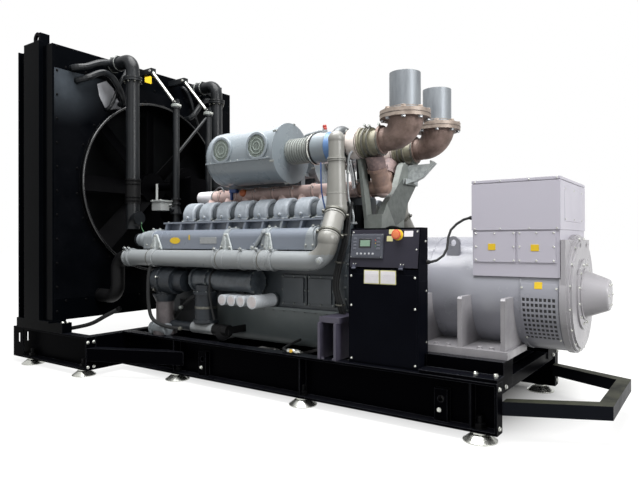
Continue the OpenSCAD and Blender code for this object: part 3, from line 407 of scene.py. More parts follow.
# Fresh engine enamel on small ribbed castings: the palest parts, speckled grey.
BRACKET_PAINT = Finish("enamel_on_cast_brackets", "#B9BFBE", 0.48, Mottle("#7F8588", 26, 0.7), Grain(8, 0.7),
                       Edge("#CFD2D2", 0.4))
# Steel screws painted over with the block: a little lighter than what they hold.
BLOCK_BOLT = Finish("painted_over_screws", "#5E6363", 0.42, Mottle("#6F7473", 12), metallic=0.2)
# Matt lacquer on the pressed ends of the filter cans: warmer and flatter than their sides.
FILTER_END = Finish("matt_lacquer_on_filter_ends", "#C8C5C6", 0.45, Mottle("#B9A9A6", 40, 0.5))
# White coated foil of the blank labels and the manifold's front sleeve: flat bright white.
STICKER_WHITE = Finish("white_coated_foil", "#F2EFF2", 0.4, Mottle("#E2DEE4", 60, 0.4))
# Foil printed all over in yellow, blank: flat and strong.
LABEL_YELLOW = Finish("yellow_printed_foil", "#E0BC22", 0.38, Mottle("#D4AE1E", 25))
# Foil printed in pale yellow, blank: the border of the labels on the cabinet.
LABEL_PALE = Finish("pale_yellow_foil", "#DCD7A0", 0.4, Mottle("#CDC88E", 25))
# Anodised aluminium plate, left blank: even grey with a metal sheen.
PLATE_GREY = Finish("anodised_blank_plate", "#8C8F90", 0.35, Mottle("#A2A4A6", 40), metallic=0.4)
# Caps and knobs of moulded nylon, dyed through: flat colours with a soft gloss.
CAP_BLUE = Finish("moulded_blue_nylon", "#2F4F8C", 0.4, Mottle("#27457D", 20))
CAP_ORANGE = Finish("moulded_orange_nylon", "#DA7A4C", 0.35, Mottle("#C96A3E", 15))
CAP_RED = Finish("moulded_red_nylon", "#B4382C", 0.4, Mottle("#9E3026", 15))
CAP_YELLOW = Finish("moulded_yellow_nylon", "#C9A238", 0.4, Mottle("#B79230", 15))
# Cable and wire jackets of extruded soft vinyl: plain colours with a low sheen.
CABLE_GREEN = Finish("green_vinyl_jacket", "#3E6B46", 0.5, Mottle("#365F3E", 20))
CABLE_GREY = Finish("grey_vinyl_jacket", "#6D7075", 0.5, Mottle("#5F6267", 20))
CABLE_BLUE = Finish("blue_vinyl_jacket", "#33538F", 0.45, Mottle("#2B487D", 20))
# Woven silica cloth laced round the turbine: cream, soft and creased.
CREAM_WRAP = Finish("cream_silica_wrap", "#F0E6E0", 0.7, Mottle("#D6C7BC", 40, 0.6), Grain(14, 1.2))
# Turbine outlet after a few heats: olive grey paint burnt thin over iron.
OLIVE_IRON = Finish("burnt_paint_on_iron", "#82806F", 0.58, Mottle("#A6A190", 45, 0.7), Grain(8, 0.5),
                    metallic=0.2)
# Turbine iron after many heats: brown black scale.
DARK_IRON = Finish("scaled_turbine_iron", "#4A433F", 0.6, Mottle("#66594F", 40, 0.7), Grain(8, 0.5),
                   metallic=0.3)
# Sand cast aluminium of the compressor housing: grey, grainy and half bright.
BARE_ALUMINIUM = Finish("sand_cast_aluminium", "#65686A", 0.45, Mottle("#4E5154", 35, 0.5), Grain(8, 0.5),
                        metallic=0.5)
# Flanges flame cut from plate, straw brown from the heat.
FLANGE_TAN = Finish("straw_browned_flange", "#807369", 0.5, Mottle("#A69A90", 70, 0.8), Grain(9, 0.3),
                    Edge("#C9AE8C", 0.5), metallic=0.4)
# Arc welded bead left bare: rippled grey with brown heat tints.
WELD_BEAD = Finish("weld_bead", "#6F6862", 0.5, Mottle("#8A7D70", 14, 0.8), Grain(7, 0.8), metallic=0.5)
# Soot baked on the inside of the stubs: black with no shine at all.
SOOT = Finish("soot", "#151414", 0.85, Mottle("#1E1C1B", 50), specular=0.1)
# Engine enamel on drawn sheet drums: smooth and glossy, paler on top as a painted highlight.
DRUM_PAINT = Finish("enamel_on_drawn_sheet", "#7F888E", 0.28, Mottle("#737C82", 320), Grain(40, 0.15),
                    Edge("#C4C6C2", 0.3), DustAndTopLight("#CDD2D8", 0.9), coat=0.25)
# Silicone hose painted with the engine: the same grey, but matt.
HOSE_GREY = Finish("painted_silicone_hose", "#8F938F", 0.5, Mottle("#7E8280", 80, 0.5))
# Silicone band cured in blue: dull, clear blue between grey ducts.
BAND_BLUE = Finish("blue_silicone_band", "#5A7FB0", 0.42, Mottle("#4B6E9E", 60))
# Galvanised wire cloth of the inlets, and the paper element in the shade behind it.
MESH_WIRE = Finish("galvanised_wire_cloth", "#98A29C", 0.45, Mottle("#8A948A", 25), metallic=0.4)
MESH_BACK = Finish("paper_element_in_shade", "#4C5650", 0.8, Mottle("#3C463F", 45))
# Near black sheet behind the air holes: painted shade for the dark inside seen through them.
HOLE_SHADE = Finish("painted_shade_behind_holes", "#1D1C1F", 0.6, Mottle("#151417", 20))
# The alternator's enamel on the cast end shield: warmer from its primer, and darker on top as a dusting and
# as painted shade, as on the box.
SHIELD_PAINT = Finish("baked_enamel_on_cast_shield", "#A19FA3", 0.3, Mottle("#949296", 220), Grain(20, 0.3),
                      Edge("#D6D2D0", 0.3), DustAndTopLight("#6C6A6C", 1.1))
# Extruded rubber hose, wiped clean: deep black with a thin highlight.
HOSE_GLOSS = Finish("extruded_rubber_hose", "#0A0A0B", 0.5, Mottle("#141415", 120), specular=0.12)
# Front foil, smoked window, screen, keys and lamp of the controller: printed and moulded plastics.
BEZEL = Finish("printed_front_foil", "#40434C", 0.4, Mottle("#4C4F59", 60))
BEZEL_DARK = Finish("smoked_acrylic", "#15161A", 0.2, Mottle("#1B1C21", 40))
SCREEN_GREEN = Finish("liquid_crystal_panel", "#7F9A86", 0.25, Mottle("#6F8A78", 30))
KEY_PALE = Finish("moulded_pale_keys", "#B9BCC0", 0.45, Mottle("#A8ABB0", 10))
KEY_DARK = Finish("moulded_dark_keys", "#5A5D66", 0.45, Mottle("#4C4F58", 10))
KEY_GREEN = Finish("green_lens", "#3F8F55", 0.25, Mottle("#357C49", 8))
# The base's enamel on the towing bar, dulled by hooks and ropes, with an olive painted reflection on its top
# faces.
TOWING_PAINT = Finish("dulled_enamel_on_towing_bar", "#0D0F14", 0.4, Mottle("#12141A", 260), Grain(14, 0.25),
                      Edge("#4A4C50", 0.5, 6), specular=0.04)
BAR_TOP_SHEEN = Finish("olive_painted_reflection_on_bar_tops", "#34352A", 0.6, Mottle("#1C1D1C", 140, 0.8), Grain(12, 0.3),
                  specular=0.1)
# A pale grey sheet with large faint spangles on the shroud's face: a painted reflection of the light on its
# gloss paint.
SHROUD_GLARE = Finish("pale_painted_reflection_on_shroud", "#7B7C80", 0.4, Mottle("#919296", 160, 0.6), metallic=0.35)


# ---------------------------------------------------------------- piece maker


def extent(node: str) -> tuple[Vector, Vector]:
    """Returns a CAD node's lowest and highest corner in millimetres."""
    low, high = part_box(node)
    return low / MM, high / MM


def basis(axis: Point, up: Point = Z) -> tuple[Vector, Vector, Vector]:
    """Makes a right-handed frame round an axis.

    Args:
        axis: The direction that becomes the third vector.
        up: A hint for the second vector.

    Returns:
        Side, up and axis, all of length one.
    """
    n = Vector(axis).normalized()
    hint = Vector(up)
    if abs(hint.normalized().dot(n)) > 0.98:
        hint = X if abs(n.x) < 0.9 else Y
    side = hint.cross(n).normalized()
    return side, n.cross(side), n


def around(at: Point, axis: Point, radius: float, count: int, first_deg: float = 0.0) -> list[Vector]:
    """Spreads points evenly on a circle.

    Args:
        at: The circle's middle.
        axis: The circle's axis.
        radius: Its radius.
        count: Number of points.
        first_deg: Angle of the first point.

    Returns:
        The points.
    """
    side, up, _ = basis(axis)
    turns = [math.radians(first_deg + 360 * i / count) for i in range(count)]
    return [Vector(at) + radius * (math.cos(t) * side + math.sin(t) * up) for t in turns]


def rounded(width: float, height: float, corner: float, steps: int = 4) -> Outline:
    """Outlines a rectangle with round corners.

    Args:
        width: Its width.
        height: Its height.
        corner: Corner radius.
        steps: Steps in each corner.

    Returns:
        Points round the middle, anticlockwise.
    """
    points = []
    for quarter, (sx, sy) in enumerate(((1, 1), (-1, 1), (-1, -1), (1, -1))):
        cx, cy = sx * (width / 2 - corner), sy * (height / 2 - corner)
        for i in range(steps + 1):
            a = math.radians(90 * quarter + 90 * i / steps)
            points.append((cx + corner * math.cos(a), cy + corner * math.sin(a)))
    return points


def eased(points: Sequence[Point], dense: int = 5) -> list[Vector]:
    """Runs a smooth curve through given points.

    Args:
        points: The points of the route.
        dense: Steps between two points.

    Returns:
        The denser route.
    """
    p = [Vector(q) for q in points]
    p = [2 * p[0] - p[1], *p, 2 * p[-1] - p[-2]]
    out = []
    for a, b, c, d in zip(p, p[1:], p[2:], p[3:]):
        for i in range(dense):
            t = i / dense
            out.append(0.5 * (2 * b + (c - a) * t + (2 * a - 5 * b + 4 * c - d) * t * t
                              + (3 * b - a - 3 * c + d) * t ** 3))
    return [*out, p[-2]]


class Piece:
    """One piece in the making, in millimetres: turned, swept and cut forms gathered in one mesh."""

    def __init__(self, name: str, slot: str, body: Body = Body.SET) -> None:
        """Starts an empty piece.

        Args:
            name: The piece's name.
            slot: Material slot of the record that it follows; not used.
            body: The body that it rides on.
        """
        self.name = name
        self.slot = slot
        self.body = body
        self.mesh = bmesh.new()
        self.finishes: list[Finish] = []

    def skin(self, finish: Finish, rings: Sequence[Sequence[Vector]], closed: bool = False) -> None:
        """Joins rings of points by faces and caps the ends.

        Args:
            finish: The faces' finish.
            rings: Rings with the same number of points.
            closed: Whether the last ring joins the first instead of being capped.
        """
        if finish not in self.finishes:
            self.finishes.append(finish)
        rows = [[self.mesh.verts.new(point * MM) for point in ring] for ring in rings]
        faces = [] if closed else [self.mesh.faces.new(rows[0][::-1]), self.mesh.faces.new(rows[-1])]
        for low, high in zip(rows, rows[1:] + (rows[:1] if closed else [])):
            for i in range(len(low)):
                j = (i + 1) % len(low)
                faces.append(self.mesh.faces.new((low[i], low[j], high[j], high[i])))
        for face in faces:
            face.material_index = self.finishes.index(finish)

    def turned(self, finish: Finish, at: Point, axis: Point, profile: Outline,
               steps: int = 24, closed: bool = False) -> None:
        """Turns a profile round an axis.

        Args:
            finish: Its finish.
            at: Where the axis starts.
            axis: The axis.
            profile: Radius and height of each ring.
            steps: Corners of a ring; six makes a nut.
            closed: Whether the profile is a loop, as on a band.
        """
        side, up, n = basis(axis)
        turns = [math.tau * (i + 0.5) / steps for i in range(steps)]
        spokes = [math.cos(t) * side + math.sin(t) * up for t in turns]
        self.skin(finish, [[Vector(at) + h * n + r * spoke for spoke in spokes] for r, h in profile], closed)

    def tube(self, finish: Finish, points: Sequence[Point], radius: float, sides: int = 10,
             dense: int = 5) -> None:
        """Sweeps a round hose or wire along a route.

        Args:
            finish: Its finish.
            points: The route's points.
            radius: Its radius.
            sides: Corners of its section.
            dense: Steps between two points; one keeps the corners sharp.
        """
        path = eased(points, dense) if dense > 1 else [Vector(p) for p in points]
        side = basis(path[1] - path[0])[0]
        rings = []
        for i, point in enumerate(path):
            way = (path[min(i + 1, len(path) - 1)] - path[max(i - 1, 0)]).normalized()
            side = (side - side.dot(way) * way).normalized()
            up = way.cross(side)
            rings.append([point + radius * (math.cos(t) * side + math.sin(t) * up)
                          for t in (math.tau * k / sides for k in range(sides))])
        self.skin(finish, rings)

    def slab(self, finish: Finish, at: Point, normal: Point, outlines: Sequence[Outline],
             heights: Sequence[float], up: Point = Z) -> None:
        """Stacks flat outlines into a plate.

        Args:
            finish: Its finish.
            at: Middle of its back.
            normal: The way that it faces.
            outlines: One outline for each height, with the same number of points.
            heights: Height of each outline above the back.
            up: Its upward direction.
        """
        side, upward, n = basis(normal, up)
        self.skin(finish, [[Vector(at) + x * side + y * upward + h * n for x, y in outline]
                           for outline, h in zip(outlines, heights)])

    def plate(self, finish: Finish, at: Point, normal: Point, width: float, height: float, depth: float,
              corner: float = 4.0, edge: float = 1.5, up: Point = Z) -> None:
        """Adds a plate with round corners and a broken front edge.

        Args:
            finish: Its finish.
            at: Middle of its back.
            normal: The way that it faces.
            width: Its width.
            height: Its height.
            depth: Its thickness.
            corner: Corner radius.
            edge: Width of the broken edge.
            up: Its upward direction.
        """
        full = rounded(width, height, corner)
        small = rounded(width - 2 * edge, height - 2 * edge, max(corner - edge, 0.3))
        self.slab(finish, at, normal, (full, full, small), (0, depth - edge, depth), up)

    def bolt(self, finish: Finish, at: Point, axis: Point, size: float) -> None:
        """Adds a hexagon head on its washer.

        Args:
            finish: Its finish.
            at: Where the washer sits.
            axis: The way that the head points.
            size: The thread's diameter.
        """
        seat = 0.2 * size
        self.turned(finish, at, axis, ((1.12 * size, -1), (1.12 * size, seat * 0.7), (1.02 * size, seat)), 14)
        top = Vector(at) + seat * Vector(axis).normalized()
        head = ((0.9 * size, -0.5), (0.9 * size, 0.52 * size), (0.76 * size, 0.64 * size))
        self.turned(finish, top, axis, head, 6)

    def bolts(self, finish: Finish, places: Iterable[Point], axis: Point, size: float) -> None:
        """Adds a bolt at each place."""
        for place in places:
            self.bolt(finish, place, axis, size)

    def ring(self, finish: Finish, at: Point, axis: Point, inner: float, outer: float, width: float,
             steps: int = 36) -> None:
        """Adds a flat ring round an axis, centred on a point.

        Args:
            finish: Its finish.
            at: Its middle.
            axis: Its axis.
            inner: Inner radius.
            outer: Outer radius.
            width: Its width along the axis.
            steps: Corners of a circle.
        """
        half = width / 2
        soft = min(half, outer - inner) * 0.3
        profile = ((inner, -half), (outer - soft, -half), (outer, soft - half), (outer, half - soft),
                   (outer - soft, half), (inner, half))
        self.turned(finish, at, axis, profile, steps, True)

    def clamp(self, finish: Finish, at: Point, axis: Point, radius: float, width: float,
              screw: Point) -> None:
        """Adds a hose clamp: a thin band with its screw housing.

        Args:
            finish: Its finish.
            at: Its middle.
            axis: The hose's axis.
            radius: Radius of what it holds.
            width: Width of the band.
            screw: The side where the screw sits.
        """
        self.ring(finish, at, axis, radius - 1, radius + 2.5, width)
        out = Vector(screw).normalized()
        seat = Vector(at) + (radius + 1) * out
        along = Vector(axis).cross(Vector(screw))
        self.plate(finish, seat, screw, width * 1.1, width * 1.6, width * 0.5, 2, 1, up=along)
        self.turned(finish, seat + width * 0.3 * out + width * 0.7 * along, along,
                    ((width * 0.28, 0), (width * 0.28, width * 0.5)), 6)

    def done(self) -> None:
        """Turns the gathered forms into a finished object that rides on its body."""
        bmesh.ops.recalc_face_normals(self.mesh, faces=self.mesh.faces)
        for face in self.mesh.faces:
            face.smooth = True
        for edge in self.mesh.edges:
            edge.smooth = edge.calc_face_angle(math.pi) < SHARP
        data = bpy.data.meshes.new(self.name)
        self.mesh.to_mesh(data)
        self.mesh.free()
        for finish in self.finishes:
            data.materials.append(finish.material())
        made = bpy.data.objects.new(self.name, data)
        bpy.context.scene.collection.objects.link(made)
        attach(made, self.body.value)
        LOG.info("made %s, %d faces", self.name, len(data.polygons))


def dress(node: str, finish: Finish, *zones: tuple[Finish, Callable[[Vector, Vector], bool]]) -> None:
    """Gives a CAD node its finish, and other finishes to some of its faces.

    Args:
        node: The node's name.
        finish: Finish of the whole node.
        *zones: A finish, and a test of a face's middle in millimetres and its normal.
    """
    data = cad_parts[node].data
    data.materials.clear()
    for choice in (finish, *(zone[0] for zone in zones)):
        data.materials.append(choice.material())
    for face in data.polygons:
        face.material_index = 0
        for index, (_, test) in enumerate(zones, 1):
            if test(face.center / MM, face.normal):
                face.material_index = index
    LOG.info("dressed %s as %s", node, finish.name)


# ---------------------------------------------------------------- base


@dataclass
class BaseFrame:
    """Ladder base on bright feet: finishes, nuts and bolts. Sizes in millimetres."""

    feet: tuple[tuple[float, float], ...] = (
        (2077, 734), (689, 734), (-739, 734), (-1593, 1125), (-2499, 1125))
    tread_z: float = 376.0
    flange_z: float = 78.0
    pad_z: float = 404.0
    pad_places: tuple[float, ...] = (2029, 2160)
    lug_places: tuple[float, ...] = (1821, -400)

    def dress(self) -> None:
        """Gives the steelwork and the feet their finishes."""
        for node in ("base_rails", "base_cross_members", "outriggers"):
            dress(node, BASE_PAINT, (TREAD_PAINT, lambda at, way: at.z > self.tread_z and way.z > 0.9))
        # The towing bar's top faces take an olive painted reflection.
        dress("end_frame", TOWING_PAINT, (BAR_TOP_SHEEN, lambda at, way: way.z > 0.9))
        dress("engine_supports", SUPPORT_GREY)
        dress("isolator_feet", ZINC)

    def feet_nuts(self) -> None:
        """Adds the nuts that hold the rails on the feet's studs."""
        nuts = Piece("feet_nuts", "zinc_feet")
        for x, y in self.feet:
            for side in SIDES:
                at = Vector((x, side * y, 0))
                nuts.turned(ZINC, at + 43 * Z, Z, ((48, 0), (54, 3), (54, 13), (48, 16)), 6)
                rail = at + self.flange_z * Z
                nuts.ring(BLACK_BOLT, rail + 3 * Z, Z, 20, 44, 6)
                nuts.turned(BLACK_BOLT, rail + 5 * Z, Z, ((36, 0), (38, 2), (38, 26), (33, 29)), 6)
                nuts.turned(BLACK_BOLT, rail + 30 * Z, Z, ((20, 0), (20, 44), (16, 48)), 20)
        nuts.done()

    def bolts(self) -> None:
        """Adds the bolts of the end plates, lugs and mounting pads."""
        low, high = extent("base_rails")
        made = Piece("base_bolts", "zinc_feet")
        for side in SIDES:
            made.bolts(ZINC, [(high.x, side * 754, z) for z in (100, 341)], X, 14)
            made.bolt(ZINC, (high.x, side * 622, 331), X, 14)
            made.bolts(ZINC, [(x, side * 680, self.pad_z) for x in self.pad_places], Z, 16)
            for x in self.lug_places:
                made.bolt(ZINC, (x - 12, side * 750, 150), side * Y, 14)
            for y in (1100, 1160):
                made.bolts(ZINC, [(low.x, side * y, z) for z in (92, 320)], X, 14)
            for x in (892, 990):
                made.bolt(SUPPORT_GREY, (x, side * 760, 380), Z, 14)
            for x in (-2690, -1900):
                made.bolts(ZINC, [(x, side * 1106, 467), (x, side * 1154, 467)], Z, 16)
        made.done()

    def build(self) -> None:
        """Makes the whole sub-assembly."""
        self.dress()
        self.feet_nuts()
        self.bolts()


# ---------------------------------------------------------------- radiator


@dataclass
class Radiator:
    """Radiator, fan, stays and coolant pipes: finishes, bolts and clamps. Sizes in millimetres."""

    fan_z: float = 1865.0
    shroud_r: float = 917.0
    pipe_y: float = 590.0
    pipe_x: float = -1575.0
    pipe_r: float = 67.0
    pipe_z: float = 3105.0
    flange_z: float = 2895.0
    post_x: float = -1339.0
    post_y: float = 228.0

    def dress(self) -> None:
        """Gives the painted steelwork, the fins and the stays their finishes."""
        for node, finish in (("radiator_frames", RADIATOR_PAINT), ("radiator_tanks", RADIATOR_PAINT),
                             ("radiator_core", FIN_BLOCK), ("fan", FAN_PAINT), ("fan_drive", FAN_PAINT),
                             ("charge_air_hoses", HOSE_GLOSS)):
            dress(node, finish)
        dress("fan_shroud", SHROUD_PAINT, (RING_PAINT, lambda at, way: self.is_lip(at)))
        dress("radiator_stays", PIPE_PAINT,
              (ZINC, lambda at, way: at.x < self.post_x - 36 and at.z > 2650 and not self.is_top_bracket(at)),
              (SENSOR_GREY, lambda at, way: at.x < self.post_x - 60 and at.z < 1900))
        dress("coolant_pipes", PIPE_PAINT, (HOSE_GLOSS, lambda at, way: self.is_hose(at)))

    def is_lip(self, at: Vector) -> bool:
        """Tells whether a face of the shroud belongs to the rolled ring round the fan."""
        return at.x > -1966 and math.hypot(at.y, at.z - self.fan_z) > self.shroud_r + 2

    def is_top_bracket(self, at: Vector) -> bool:
        """Tells whether a face of the stays belongs to the brackets on the radiator's tank."""
        return at.x < -1696 and 3066 < at.z < 3134

    def is_hose(self, at: Vector) -> bool:
        """Tells whether a face of the coolant pipes belongs to a rubber sleeve."""
        off = math.hypot(at.x - self.pipe_x, abs(at.y) - self.pipe_y)
        return 1636 < at.z < 1894 and off > self.pipe_r + 3

    def frame_bolts(self) -> None:
        """Adds the bolts round the side frames, the tanks and the shroud."""
        low, high = extent("radiator_tanks")
        made = Piece("radiator_bolts", "radiator_paint")
        face = high.x
        for side in SIDES:
            heights = [low.z + 90 + i * 235 for i in range(12)]
            made.bolts(BLACK_BOLT, [(face, side * 1172, z) for z in heights], X, 11)
            made.bolts(BLACK_BOLT, [(-2470, side * 1221, z) for z in heights], side * Y, 11)
        for y in range(-1080, 1081, 216):
            made.bolts(BLACK_BOLT, [(face, y, 2976), (face, y, 672)], X, 11)
        made.bolts(BLACK_BOLT, around((face, 0, self.fan_z), X, self.shroud_r + 52, 24, 7.5), X, 12)
        made.done()

    def face_plates(self) -> None:
        """Adds the pale patch on the shroud's face, a painted reflection, and the blank patch under a top
        bracket.
        """
        made = Piece("shroud_glare_and_label", "radiator_paint")
        face = extent("radiator_tanks")[1].x
        middle = (-610.0, 2790.0)
        corners = ((-734, 2890), (-711, 2770), (-629, 2640), (-520, 2668), (-436, 2684), (-500, 2790),
                   (-545, 2884), (-628, 2946))
        full = [(y - middle[0], z - middle[1]) for y, z in corners]
        small = [(u * 0.98, v * 0.98) for u, v in full]
        made.slab(SHROUD_GLARE, (face, *middle), X, (full, full, small), (0, 1.5, 2.5))
        made.plate(LABEL_YELLOW, (face, -90, 3086), X, 96, 84, 1.6, 10, 0.6)
        made.done()

    def pipe_fittings(self) -> None:
        """Adds the flange bolts and hose clamps of the coolant pipes."""
        made = Piece("coolant_clamps", "coolant_paint")
        for side in SIDES:
            y = side * self.pipe_y
            for at in around((self.pipe_x, y, self.flange_z), Z, self.pipe_r + 17, 8, 22.5):
                made.bolt(CLAMP_STEEL, at + 21 * Z, Z, 10)
                made.bolt(CLAMP_STEEL, at - 21 * Z, -Z, 10)
            for z in (1664, 1700, 1832, 1868):
                made.clamp(BLACK_BOLT, (self.pipe_x, y, z), Z, self.pipe_r + 9, 14, (1, -0.6, 0))
            for x in (-1884, -1792):
                made.clamp(ZINC_DULL, (x, y, self.pipe_z), X, self.pipe_r + 9, 14, (0, -0.4, 1))
            for finish, x, z in ((BLACK_BOLT, -1951, 700), (ZINC, -1516, 1100)):
                made.clamp(finish, (x, side * 700, z), X, 68, 16, (0, -0.5, 1))
        made.done()

    def stay_fittings(self) -> None:
        """Adds the clevises, pins and clamp bolts at the ends of the tie rods."""
        made = Piece("stay_fittings", "stay_steel")
        for side in SIDES:
            y = side * self.post_y
            top = Vector((self.post_x, y, 2712))
            made.turned(ZINC, top - 34 * Y, Y, ((13, 0), (13, 68)), 16)
            made.bolts(ZINC, [top + s * 18 * Y for s in SIDES], -Y, 12)
            made.ring(CASTING_GREY, (self.post_x, y, 2672), Z, 33, 52, 34)
            made.bolts(ZINC, [(self.post_x + 50, y + s * 14, 2672) for s in SIDES], X, 10)
            made.turned(CASTING_GREY, (-1738, y, 3106), (0.684, 0, -0.73), ((24, -8), (24, 34), (19, 48)), 16)
            made.bolt(ZINC, (-1725, y - 30, 3100), -Y, 14)
            made.bolts(ZINC, around((self.post_x, y, 1370), Z, 48, 4, 45), Z, 10)
        made.turned(ZINC, (self.post_x - 4, -self.post_y + 12, 2180), (0, -1, 0.2), ((20, -14), (20, 26)), 16)
        made.turned(SENSOR_GREY, (-1535, -320, 1850), Z, ((13.5, 0), (13.5, 4), (9, 8)), 16)
        made.bolts(ZINC, [(x, y, 1688) for x in (-1575, -1445) for y in (-345, -205)], Z, 6)
        made.done()

    def build(self) -> None:
        """Makes the whole sub-assembly."""
        self.dress()
        self.frame_bolts()
        self.face_plates()
        self.pipe_fittings()
        self.stay_fittings()


# ---------------------------------------------------------------- engine


@dataclass
class Engine:
    """Crankcase, banks and everything bolted to their sides. Sizes in millimetres."""

    first_x: float = -896.0
    pitch: float = 228.0
    cylinders: int = 8
    bank_deg: float = 30.0
    vee_z: float = 906.0
    head_s: float = 690.0
    case_y: float = 430.0
    charge_y: float = 700.0
    charge_z: float = 1100.0
    charge_r: float = 76.0
    rib_places: tuple[float, ...] = (-1190, -176, 276, 720)
    riser: tuple[float, float] = (868, 530)
    warm_from: tuple[float, float] = (760, 1150)
    canister: tuple[float, float] = (-506, -600)
    shaft_z: float = 888.0
    cooler: tuple[float, float] = (-570, 905)
    filters: tuple[tuple[float, float], ...] = ((-181, 46), (-75, 46), (35, 46), (160, 56))
    filter_z: float = 752.0
    doors_x: tuple[float, ...] = (262, 538)
    label_y: float = -681.0
    drain_valve: Point = (542, -736, 399)

    def bank(self, along: float, across: float, side: int) -> Vector:
        """Turns a distance along a bank's middle and one across it into a place.

        Args:
            along: Distance from the crank up the bank.
            across: Distance outwards from the bank's middle.
            side: -1 for the control side, 1 for the far side.

        Returns:
            The place, with X zero.
        """
        a = math.radians(self.bank_deg)
        y = along * math.sin(a) + across * math.cos(a)
        return Vector((0, side * y, self.vee_z + along * math.cos(a) - across * math.sin(a)))

    def bank_ways(self, side: int) -> tuple[Vector, Vector]:
        """Returns the way up a bank and the way out of its side."""
        a = math.radians(self.bank_deg)
        return Vector((0, side * math.sin(a), math.cos(a))), Vector((0, side * math.cos(a), -math.sin(a)))

    def dress(self) -> None:
        """Gives the castings, covers and housings their finishes."""
        # The flywheel housing takes this darker enamel as painted shade, where it lies in shadow.
        for node in ("crankcase", "crankcase_doors", "gear_case", "flywheel_housing"):
            dress(node, BLOCK_PAINT)
        dress("sump", SUMP_PAINT)
        dress("cylinder_heads", CASTING_GREY)
        dress("oil_filters", FILTER_PAINT)
        # The necks between the covers take the darker block enamel as painted shade.
        dress("rocker_covers", COVER_PAINT, (BLOCK_PAINT, lambda at, way: self.is_neck(at)))
        dress("charge_air_manifolds", BOX_CASTING, (CAST_PAINT, lambda at, way: self.is_rib(at)))
        x, z = self.warm_from
        dress("charge_air_pipes", TUBE_PAINT, (WARM_PAINT, lambda at, way: at.x > x and at.z > z))
        # The pump and the canister under the cooler take the near black pump enamel as painted shade.
        dress("oil_cooler", COOLER_PAINT, (PUMP_PAINT, lambda at, way: self.is_canister(at)))
        dress("water_pump", PUMP_PAINT,
              (PUMP_PRIMER, lambda at, way: at.z < 690 and at.x < -880),
              (TUBE_PAINT, lambda at, way: -650 < at.x < -380 and at.z < 540 and at.y < -560),
              (HOSE_GLOSS, lambda at, way: -380 <= at.x < -196 and at.z < 540))

    def is_canister(self, at: Vector) -> bool:
        """Tells whether a face of the oil cooler belongs to the canister that hangs below it."""
        x, y = self.canister
        return math.hypot(at.x - x, at.y - y) < 118 and at.z < 870

    def is_neck(self, at: Vector) -> bool:
        """Tells whether a face of the rocker covers lies between two of them, in their shade."""
        off = (at.x - self.first_x + self.pitch / 2) % self.pitch - self.pitch / 2
        return abs(off) > 79

    def is_rib(self, at: Vector) -> bool:
        """Tells whether a face of a charge air box belongs to a rib or to the cast outlet."""
        return at.x < -1250 or any(abs(at.x - x) < 60 and abs(at.y) > 500 for x in self.rib_places)

    def cover_bolts(self) -> None:
        """Adds the bolts along the foot of each rocker cover and on its side."""
        made = Piece("rocker_cover_bolts", "engine_casting")
        for side in SIDES:
            up, out = self.bank_ways(side)
            for i in range(self.cylinders):
                x = self.first_x + i * self.pitch
                made.bolts(ZINC_DULL, [self.bank(self.head_s + 16, across, side) + (x + dx) * X
                                       for dx in (-76, 76) for across in (-112, 112)], up, 10)
                at = self.bank(self.head_s + 42, 122, side) + x * X
                made.turned(COVER_PAINT, at, out, ((17, -8), (17, 6), (12, 9)), 16)
                made.bolt(ZINC_DULL, at + 8 * out, out, 9)
        made.done()

    def head_bolts(self) -> None:
        """Adds the flange bolts on the heads and the guard's screws."""
        made = Piece("head_bolts", "engine_casting")
        for side in SIDES:
            out = self.bank_ways(side)[1]
            for i in range(self.cylinders):
                x = self.first_x + i * self.pitch
                made.bolts(ZINC_DULL, [self.bank(along, 150, side) + (x + dx) * X
                                       for dx in (-78, 78) for along in (585, 655)], out, 12)
            made.bolts(ZINC_DULL, [(-1121 + i * 206, side * 515, 1440) for i in range(10)], Z, 9)
        made.done()

    def side_bolts(self) -> None:
        """Adds the bolts of the crankcase doors, the sump and the gear case."""
        made = Piece("crankcase_bolts", "sump_paint")
        for side in SIDES:
            y = side * (self.case_y + 30)
            for x in self.doors_x:
                made.bolts(BLOCK_BOLT, [(x + dx, y, z) for dx in (12, 131, 250) for z in (734, 847, 960)
                                        if (dx, z) != (131, 847)], side * Y, 10)
            made.bolts(BLOCK_BOLT, [(-520 + i * 112, side * 443, 666) for i in range(13)], -Z, 10)
            made.bolts(BLOCK_BOLT, [(x, side * 450, 740 + i * 68) for i in range(7) for x in (-302, 848)],
                       side * Y, 9)
            made.bolts(BLOCK_BOLT, [(-1250, side * 400, 640 + i * 120) for i in range(6)], -X, 12)
        made.bolts(BLOCK_BOLT, around((-1400, 0, self.shaft_z), X, 90, 8), -X, 14)
        for at in around((906, 0, self.shaft_z), X, 475, 32):
            if at.z < 1180:
                made.turned(BLOCK_BOLT, at, X, ((9, -4), (9, 12), (7, 14)), 6)
        made.done()

